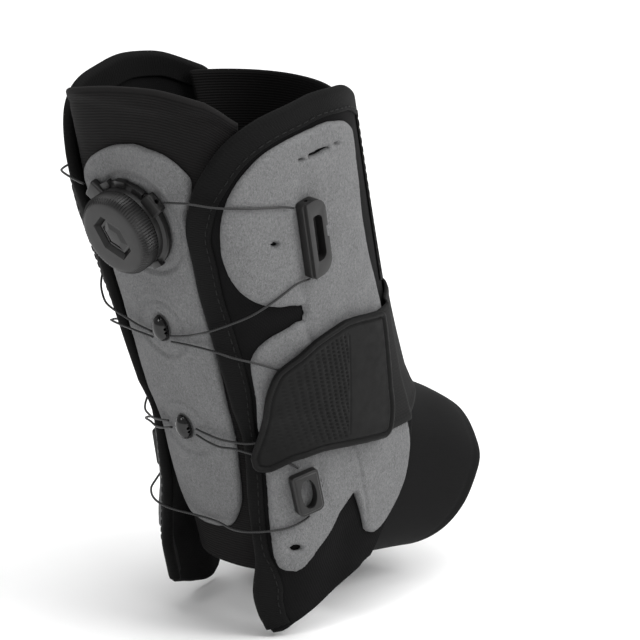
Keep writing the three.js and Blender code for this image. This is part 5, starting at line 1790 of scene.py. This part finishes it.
@dataclass
class Dial:
    """The rear dial: a base with two lace ports, a fluted knob and a faceted inlay in its face.

    Attributes:
        angle: Its place round the form.
        level: Its place up the form.
        base_radius: Radius of the base's flange.
        base_height: Height of the base.
        knob_radius: Radius over the knob's flutes.
        knob_height: Height of the knob.
        flutes: Number of fine flutes round the knob.
        dial_gap: Clearance under the base.
        turn_gap: Clearance between the knob and the base.
        flange: Height of the base's flange.
        ledge: Width of the rim round the base's top.
        spindle: Radius of the spindle.
        ports: Directions of the lace ports, in degrees.
        lugs: Directions of the lugs, in degrees.
    """

    angle: float = 0.0
    level: float = 0.606
    base_radius: float = 18.0
    base_height: float = 4.8
    knob_radius: float = 16.25
    knob_height: float = 7.4
    flutes: int = 84
    dial_gap: float = 0.9
    turn_gap: float = 0.4
    flange: float = 1.6
    ledge: float = 1.2
    spindle: float = 3.0
    ports: tuple[float, ...] = (38.0, 142.0)
    lugs: tuple[float, ...] = (62.0, 90.0, 118.0, 240.0, 300.0)

    def seat(self, up: float = 0) -> Matrix:
        """Gives the dial's frame, raised by some millimetres."""
        frame_ = FORM.seat(FORM.point, self.angle, self.level, REAR_PLATE_OUT + self.dial_gap)
        return frame_ @ moved(0, 0, up)

    def base(self) -> bpy.types.Object:
        """Models the base: a flange, a neck, a spindle and two ports with hooks.

        Returns:
            The base.
        """
        piece = Bench.cylinder("dial_housing", self.base_radius, self.flange, 96)
        Bench.pick(piece, lambda face: face.normal.z > 0.9)
        bpy.ops.mesh.inset(thickness=0.9 * MM)
        Bench.raise_face(1.0 * MM, 0.94)
        Bench.raise_face((self.base_height - 2.6) * MM, 0.985)
        bpy.ops.mesh.inset(thickness=self.ledge * MM)
        Bench.raise_face(-0.7 * MM)
        bpy.ops.mesh.inset(thickness=(self.base_radius * 0.93 - self.ledge - self.spindle) * MM)
        Bench.raise_face(4.6 * MM)
        bpy.ops.object.mode_set(mode="OBJECT")
        for turn in self.ports:
            port = Bench.box("port", (9.5, 8.0, 3.6), (0, 0, 0), 0)
            Bench.round_edges(port, 0.9, 3)
            port.data.transform(spun(turn) @ moved(17.0, 0, 1.95))
            Bench.combine(piece, port, "UNION")
            hole = Bench.cylinder("hole", 0.95, 9, 16)
            hole.data.transform(spun(turn) @ moved(16.0, 0, 2.1) @ spun(90, "Y"))
            Bench.combine(piece, hole, "DIFFERENCE")
        for turn in self.lugs:
            lug = Bench.box("lug", (2.6, 5.0, 2.4), (0, 0, 0), 0)
            lug.data.transform(spun(turn) @ moved(17.4, 0, 1.6))
            Bench.combine(piece, lug, "UNION")
        Bench.round_edges(piece, 0.22, 2, 40)
        Bench.finish(piece, self.seat())
        return settle(piece, HARD_BLACK, ["dial_base"])

    def knob(self) -> bpy.types.Object:
        """Models the knob: flutes round its side, a rounded shoulder and a cut-in face.

        Returns:
            The knob.
        """
        rim, top = self.knob_radius, self.knob_height
        piece = Bench.cylinder("fluted_knob", rim, top - 2.4, 2 * self.flutes)
        step = math.pi / self.flutes
        for vertex in piece.data.vertices:
            turn = round(math.atan2(vertex.co.y, vertex.co.x) / step)
            if turn % 2:
                vertex.co.x *= 1 - 0.42 / rim
                vertex.co.y *= 1 - 0.42 / rim
        Bench.pick(piece, lambda face: face.normal.z > 0.9)
        Bench.raise_face(0.9 * MM, 0.965)
        Bench.raise_face(0.8 * MM, 0.955)
        Bench.raise_face(0.45 * MM, 0.95)
        Bench.raise_face(0.15 * MM, 0.93)
        Bench.raise_face(0.1 * MM, 0.8)
        bpy.ops.object.mode_set(mode="OBJECT")
        Bench.pick(piece, lambda face: face.normal.z < -0.9)
        bpy.ops.mesh.inset(thickness=2.2 * MM)
        Bench.raise_face(1.4 * MM)
        bpy.ops.mesh.inset(thickness=(rim - 2.2 - 3.5) * MM)
        Bench.raise_face(2.6 * MM)
        bpy.ops.object.mode_set(mode="OBJECT")
        tool = self.recess(4.0, 1.0, 0.72)
        tool.data.transform(Matrix.Translation((0, 0, (top - 2.3) * MM)))
        Bench.combine(piece, tool, "DIFFERENCE")
        Bench.finish(piece, self.seat(self.base_height + self.turn_gap), 38)
        return settle(piece, HARD_BLACK, ["dial_knob"], "dial")

    @staticmethod
    def recess(depth: float, wide: float, narrow: float) -> bpy.types.Object:
        """Makes a six-sided block, wider at its top.

        Args:
            depth: Its height.
            wide: Scale of its top.
            narrow: Scale of its bottom.

        Returns:
            The block, standing on z = 0.
        """
        piece = Bench.cylinder("recess", 9.6, depth, 6)
        for vertex in piece.data.vertices:
            share = wide if vertex.co.z > depth / 2 * MM else narrow
            vertex.co.x *= share * 1.16
            vertex.co.y *= share * 0.86
        piece.data.transform(Matrix.Rotation(math.radians(-46), 4, "Z"))
        return piece

    def cap(self) -> bpy.types.Object:
        """Models the glossy faceted inlay in the recess.

        Returns:
            The inlay.
        """
        piece = self.recess(0.6, 0.70, 0.70)
        piece.name = "faceted_inlay"
        Bench.pick(piece, lambda face: face.normal.z > 0.9)
        bpy.ops.mesh.inset(thickness=1.2 * MM)
        Bench.raise_face(0.7 * MM, 0.62)
        bpy.ops.object.mode_set(mode="OBJECT")
        Bench.round_edges(piece, 0.12, 2, 20)
        up = self.base_height + self.turn_gap + self.knob_height - 2.2
        Bench.finish(piece, self.seat(up), 12)
        return settle(piece, GLOSS_BLACK, ["knob_cap"], "dial")

    def build(self) -> None:
        """Builds the dial's pieces."""
        self.base()
        self.knob()
        self.cap()


@dataclass
class Guides:
    """The hard guides that lead the lace.

    Attributes:
        loop: Angle, level and tilt of the upper side guide.
        eye: Angle, level and tilt of the lower side guide.
        beads: Name, angle and level of each rear guide.
    """

    loop: tuple[float, float, float] = (68.3, 0.58, 15)
    eye: tuple[float, float, float] = (38.3, -0.45, 12.5)
    beads: tuple[tuple[str, float, float], ...] = (
        ("rear_guide_upper", 0, 0.25), ("rear_guide_lower", 0, -0.148),
    )

    @staticmethod
    def place(side: Side, spot: tuple[float, float, float]) -> Matrix:
        """Gives a side guide's frame, mirrored on the far side."""
        angle, level, tilt = spot
        seat = FORM.seat(FORM.side, side.value * angle, level, PLATE_OUT + GAP, side.value * tilt)
        return seat if side is Side.NEAR else seat @ Matrix.Scale(-1, 4, (1, 0, 0))

    @staticmethod
    def round_side(piece: bpy.types.Object, test: Callable[[Vector, Vector], bool], width: float,
                   steps: int) -> None:
        """Bevels the upright edges that pass a test, width in millimetres."""
        Bench.pick(piece, lambda face: False)
        bpy.ops.mesh.select_mode(type="EDGE")
        bpy.ops.object.mode_set(mode="OBJECT")
        points = piece.data.vertices
        for edge in piece.data.edges:
            a, b = (points[i].co for i in edge.vertices)
            edge.select = abs(a.z - b.z) > 1e-5 and test(a, b)
        bpy.ops.object.mode_set(mode="EDIT")
        bpy.ops.mesh.bevel(offset=width * MM, segments=steps)
        bpy.ops.object.mode_set(mode="OBJECT")

    def upper(self, side: Side) -> bpy.types.Object:
        """Models the upper guide: straight at the rear, round in front, with a deep slot."""
        piece = Bench.box("loop_guide_" + side.tag, (10.7, 31.5, 4.6), (0, 0, 2.3))
        self.round_side(piece, lambda a, b: a.x > 0, 5.6, 10)
        self.round_side(piece, lambda a, b: a.x < -5 * MM, 1.2, 3)
        slot = Bench.box("slot", (4.6, 19, 6), (0.5, 0, 3.8))
        self.round_side(slot, lambda a, b: a.x > 0, 2.6, 6)
        self.round_side(slot, lambda a, b: a.x < 0, 0.7, 2)
        Bench.combine(piece, slot, "DIFFERENCE")
        nick = Bench.box("nick", (1.6, 5.0, 2.6), (5.3, 0.5, 3.9))
        Bench.combine(piece, nick, "DIFFERENCE")
        step = Bench.box("step", (2.4, 40, 2.0), (-5.4, 0, 4.4))
        Bench.combine(piece, step, "DIFFERENCE")
        for low in (-15.6, 15.0):
            port = Bench.cylinder("port", 0.85, 5, 14)
            port.data.transform(moved(-1.6, low + (2.4 if low > 0 else -1.6), 1.7) @ spun(90, "X"))
            Bench.combine(piece, port, "DIFFERENCE")
        Bench.round_edges(piece, 0.42, 3, 30)
        Bench.finish(piece, self.place(side, self.loop))
        return settle(piece, HARD_BLACK, ["side_guide_upper_" + side.tag])

    def lower(self, side: Side) -> bpy.types.Object:
        """Models the lower guide: a rounded plate with an oval eye and a thick top edge."""
        piece = Bench.box("eye_guide_" + side.tag, (11.6, 17.4, 3.3), (0, 0, 1.65))
        self.round_side(piece, lambda a, b: a.y < 0, 2.8, 6)
        self.round_side(piece, lambda a, b: a.y > 8 * MM, 1.2, 3)
        Bench.pick(piece, lambda face: face.normal.z > 0.9)
        bpy.ops.mesh.inset(thickness=0.9 * MM)
        Bench.raise_face(0.5 * MM, 0.97)
        bpy.ops.object.mode_set(mode="OBJECT")
        eye = Bench.cylinder("eye", 1, 12, 40, -3)
        eye.data.transform(Matrix.Diagonal((3.2, 6.2, 1, 1)))
        Bench.combine(piece, eye, "DIFFERENCE")
        Bench.round_edges(piece, 0.4, 3, 30)
        Bench.finish(piece, self.place(side, self.eye))
        return settle(piece, HARD_BLACK, ["side_guide_lower_" + side.tag])

    def bead(self, node: str, angle: float, level: float) -> bpy.types.Object:
        """Models a rear guide: an oval dome on a lip, drilled for the laces."""
        Bench.clear()
        bpy.ops.mesh.primitive_uv_sphere_add(segments=48, ring_count=24, radius=1 * MM)
        piece = bpy.context.object
        piece.name = "oval_" + node
        bpy.ops.object.mode_set(mode="EDIT")
        bpy.ops.mesh.select_all(action="SELECT")
        bpy.ops.mesh.bisect(plane_co=(0, 0, 0), plane_no=(0, 0, 1), use_fill=True, clear_inner=True)
        bpy.ops.object.mode_set(mode="OBJECT")
        piece.data.transform(Matrix.Diagonal((3.55, 5.55, 3.8, 1)))
        Bench.pick(piece, lambda face: face.normal.z < -0.9)
        bpy.ops.mesh.extrude_region_move(TRANSFORM_OT_translate={"value": (0, 0, -0.1 * MM)})
        bpy.ops.transform.resize(value=(1.07, 1.05, 1))
        bpy.ops.object.mode_set(mode="OBJECT")
        for up in (0.7, -0.9):
            port = Bench.cylinder("port", 0.62, 12, 14)
            port.data.transform(moved(-6, up, 1.5) @ spun(90, "Y"))
            Bench.combine(piece, port, "DIFFERENCE")
        Bench.finish(piece, FORM.seat(FORM.point, angle, level, REAR_PLATE_OUT + GAP), 60)
        return settle(piece, GLOSS_BLACK, [node])

    def build(self) -> None:
        """Builds every guide."""
        for side in Side:
            self.upper(side)
            self.lower(side)
        for node, angle, level in self.beads:
            self.bead(node, angle, level)


# Studio


@dataclass
class Studio:
    """A plain pale floor, soft lights and the camera.

    Attributes:
        azimuth: The camera's way round, in degrees.
        elevation: Its height, in degrees.
        distance: Its distance, in metres.
        lens: Its focal length, in millimetres.
    """

    azimuth: float = -49.0
    elevation: float = 17.4
    distance: float = 1.2
    lens: float = 168.75

    def camera(self) -> None:
        """Places the camera at the photograph's angle."""
        a, e = math.radians(self.azimuth), math.radians(self.elevation)
        back = Vector((math.sin(a) * math.cos(e), -math.cos(a) * math.cos(e), math.sin(e)))
        right = Vector((math.cos(a), math.sin(a), 0))
        up = back.cross(right)
        data = bpy.data.cameras.new("camera")
        data.lens, data.sensor_width, data.clip_end = self.lens, 36.0, 50.0
        lens = bpy.data.objects.new("camera", data)
        turn = Matrix((right, up, back)).transposed().to_4x4()
        lens.matrix_world = Matrix.Translation(back * self.distance + right * 0.0072 + up * 0.0144) @ turn
        bpy.context.scene.collection.objects.link(lens)
        bpy.context.scene.camera = lens

    def light(self, name: str, spot: tuple, size: float, power: float) -> None:
        """Adds a soft light that looks at the brace.

        Args:
            name: Its name.
            spot: Its place, in metres.
            size: Its width, in metres.
            power: Its power, in watts.
        """
        data = bpy.data.lights.new(name, "AREA")
        data.shape, data.size, data.energy = "DISK", size, power
        lamp = bpy.data.objects.new(name, data)
        way = (Vector((-0.02, 0, 0.01)) - Vector(spot)).to_track_quat("-Z", "Y")
        lamp.matrix_world = Matrix.Translation(spot) @ way.to_matrix().to_4x4()
        bpy.context.scene.collection.objects.link(lamp)

    def sun(self, name: str, way: tuple, spread: float, power: float) -> None:
        """Adds a wide light from far away.

        Args:
            name: Its name.
            way: The direction that it comes from.
            spread: Its width in the sky, in degrees.
            power: Its power, in watts for each square metre.
        """
        data = bpy.data.lights.new(name, "SUN")
        data.angle, data.energy = math.radians(spread), power
        lamp = bpy.data.objects.new(name, data)
        lamp.matrix_world = Vector(way).to_track_quat("Z", "Y").to_matrix().to_4x4()
        bpy.context.scene.collection.objects.link(lamp)

    def floor(self, height: float) -> None:
        """Lays the floor.

        Args:
            height: Its height, in metres.
        """
        Bench.clear()
        bpy.ops.mesh.primitive_plane_add(size=60, location=(0, 0, height))
        plane = bpy.context.object
        plane.name = "floor"
        bpy.ops.object.transform_apply(location=True, rotation=True, scale=True)
        plane.data.materials.append(FLOOR_PALE.material())

    def build(self) -> None:
        """Builds the studio."""
        self.camera()
        self.sun("sky", (0.1, -0.25, 1.0), 65, 2.6)
        self.light("key", (0.5, -1.7, 1.3), 1.0, 26)
        self.light("rim", (-1.8, -0.2, 1.5), 0.7, 9)
        world = bpy.data.worlds.new("studio")
        world.use_nodes = True
        world.node_tree.nodes["Background"].inputs["Color"].default_value = (1, 1, 1, 1)
        world.node_tree.nodes["Background"].inputs["Strength"].default_value = 0.45
        bpy.context.scene.world = world
        bpy.context.scene.view_settings.view_transform = "Standard"
        self.floor(-0.1015)


def main() -> None:
    """Builds the brace, piece by piece; each piece's face count is logged as it is dressed."""
    logging.basicConfig(level=logging.INFO, format="%(message)s")
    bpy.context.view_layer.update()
    Studio().build()
    for side in Side:
        panel = SidePanel(side)
        panel.panel()
        panel.tape()
        panel.stitches()
        SidePlate(side).plate()
    for part in (RearPlate(), Tongue(), FrontPanel(), FootWrap(), AnkleStrap(), StrapTab()):
        part.build()
    Dial().build()
    Guides().build()
    Lacing().build()
    Bench.clear()


if __name__ == "__main__":
    main()
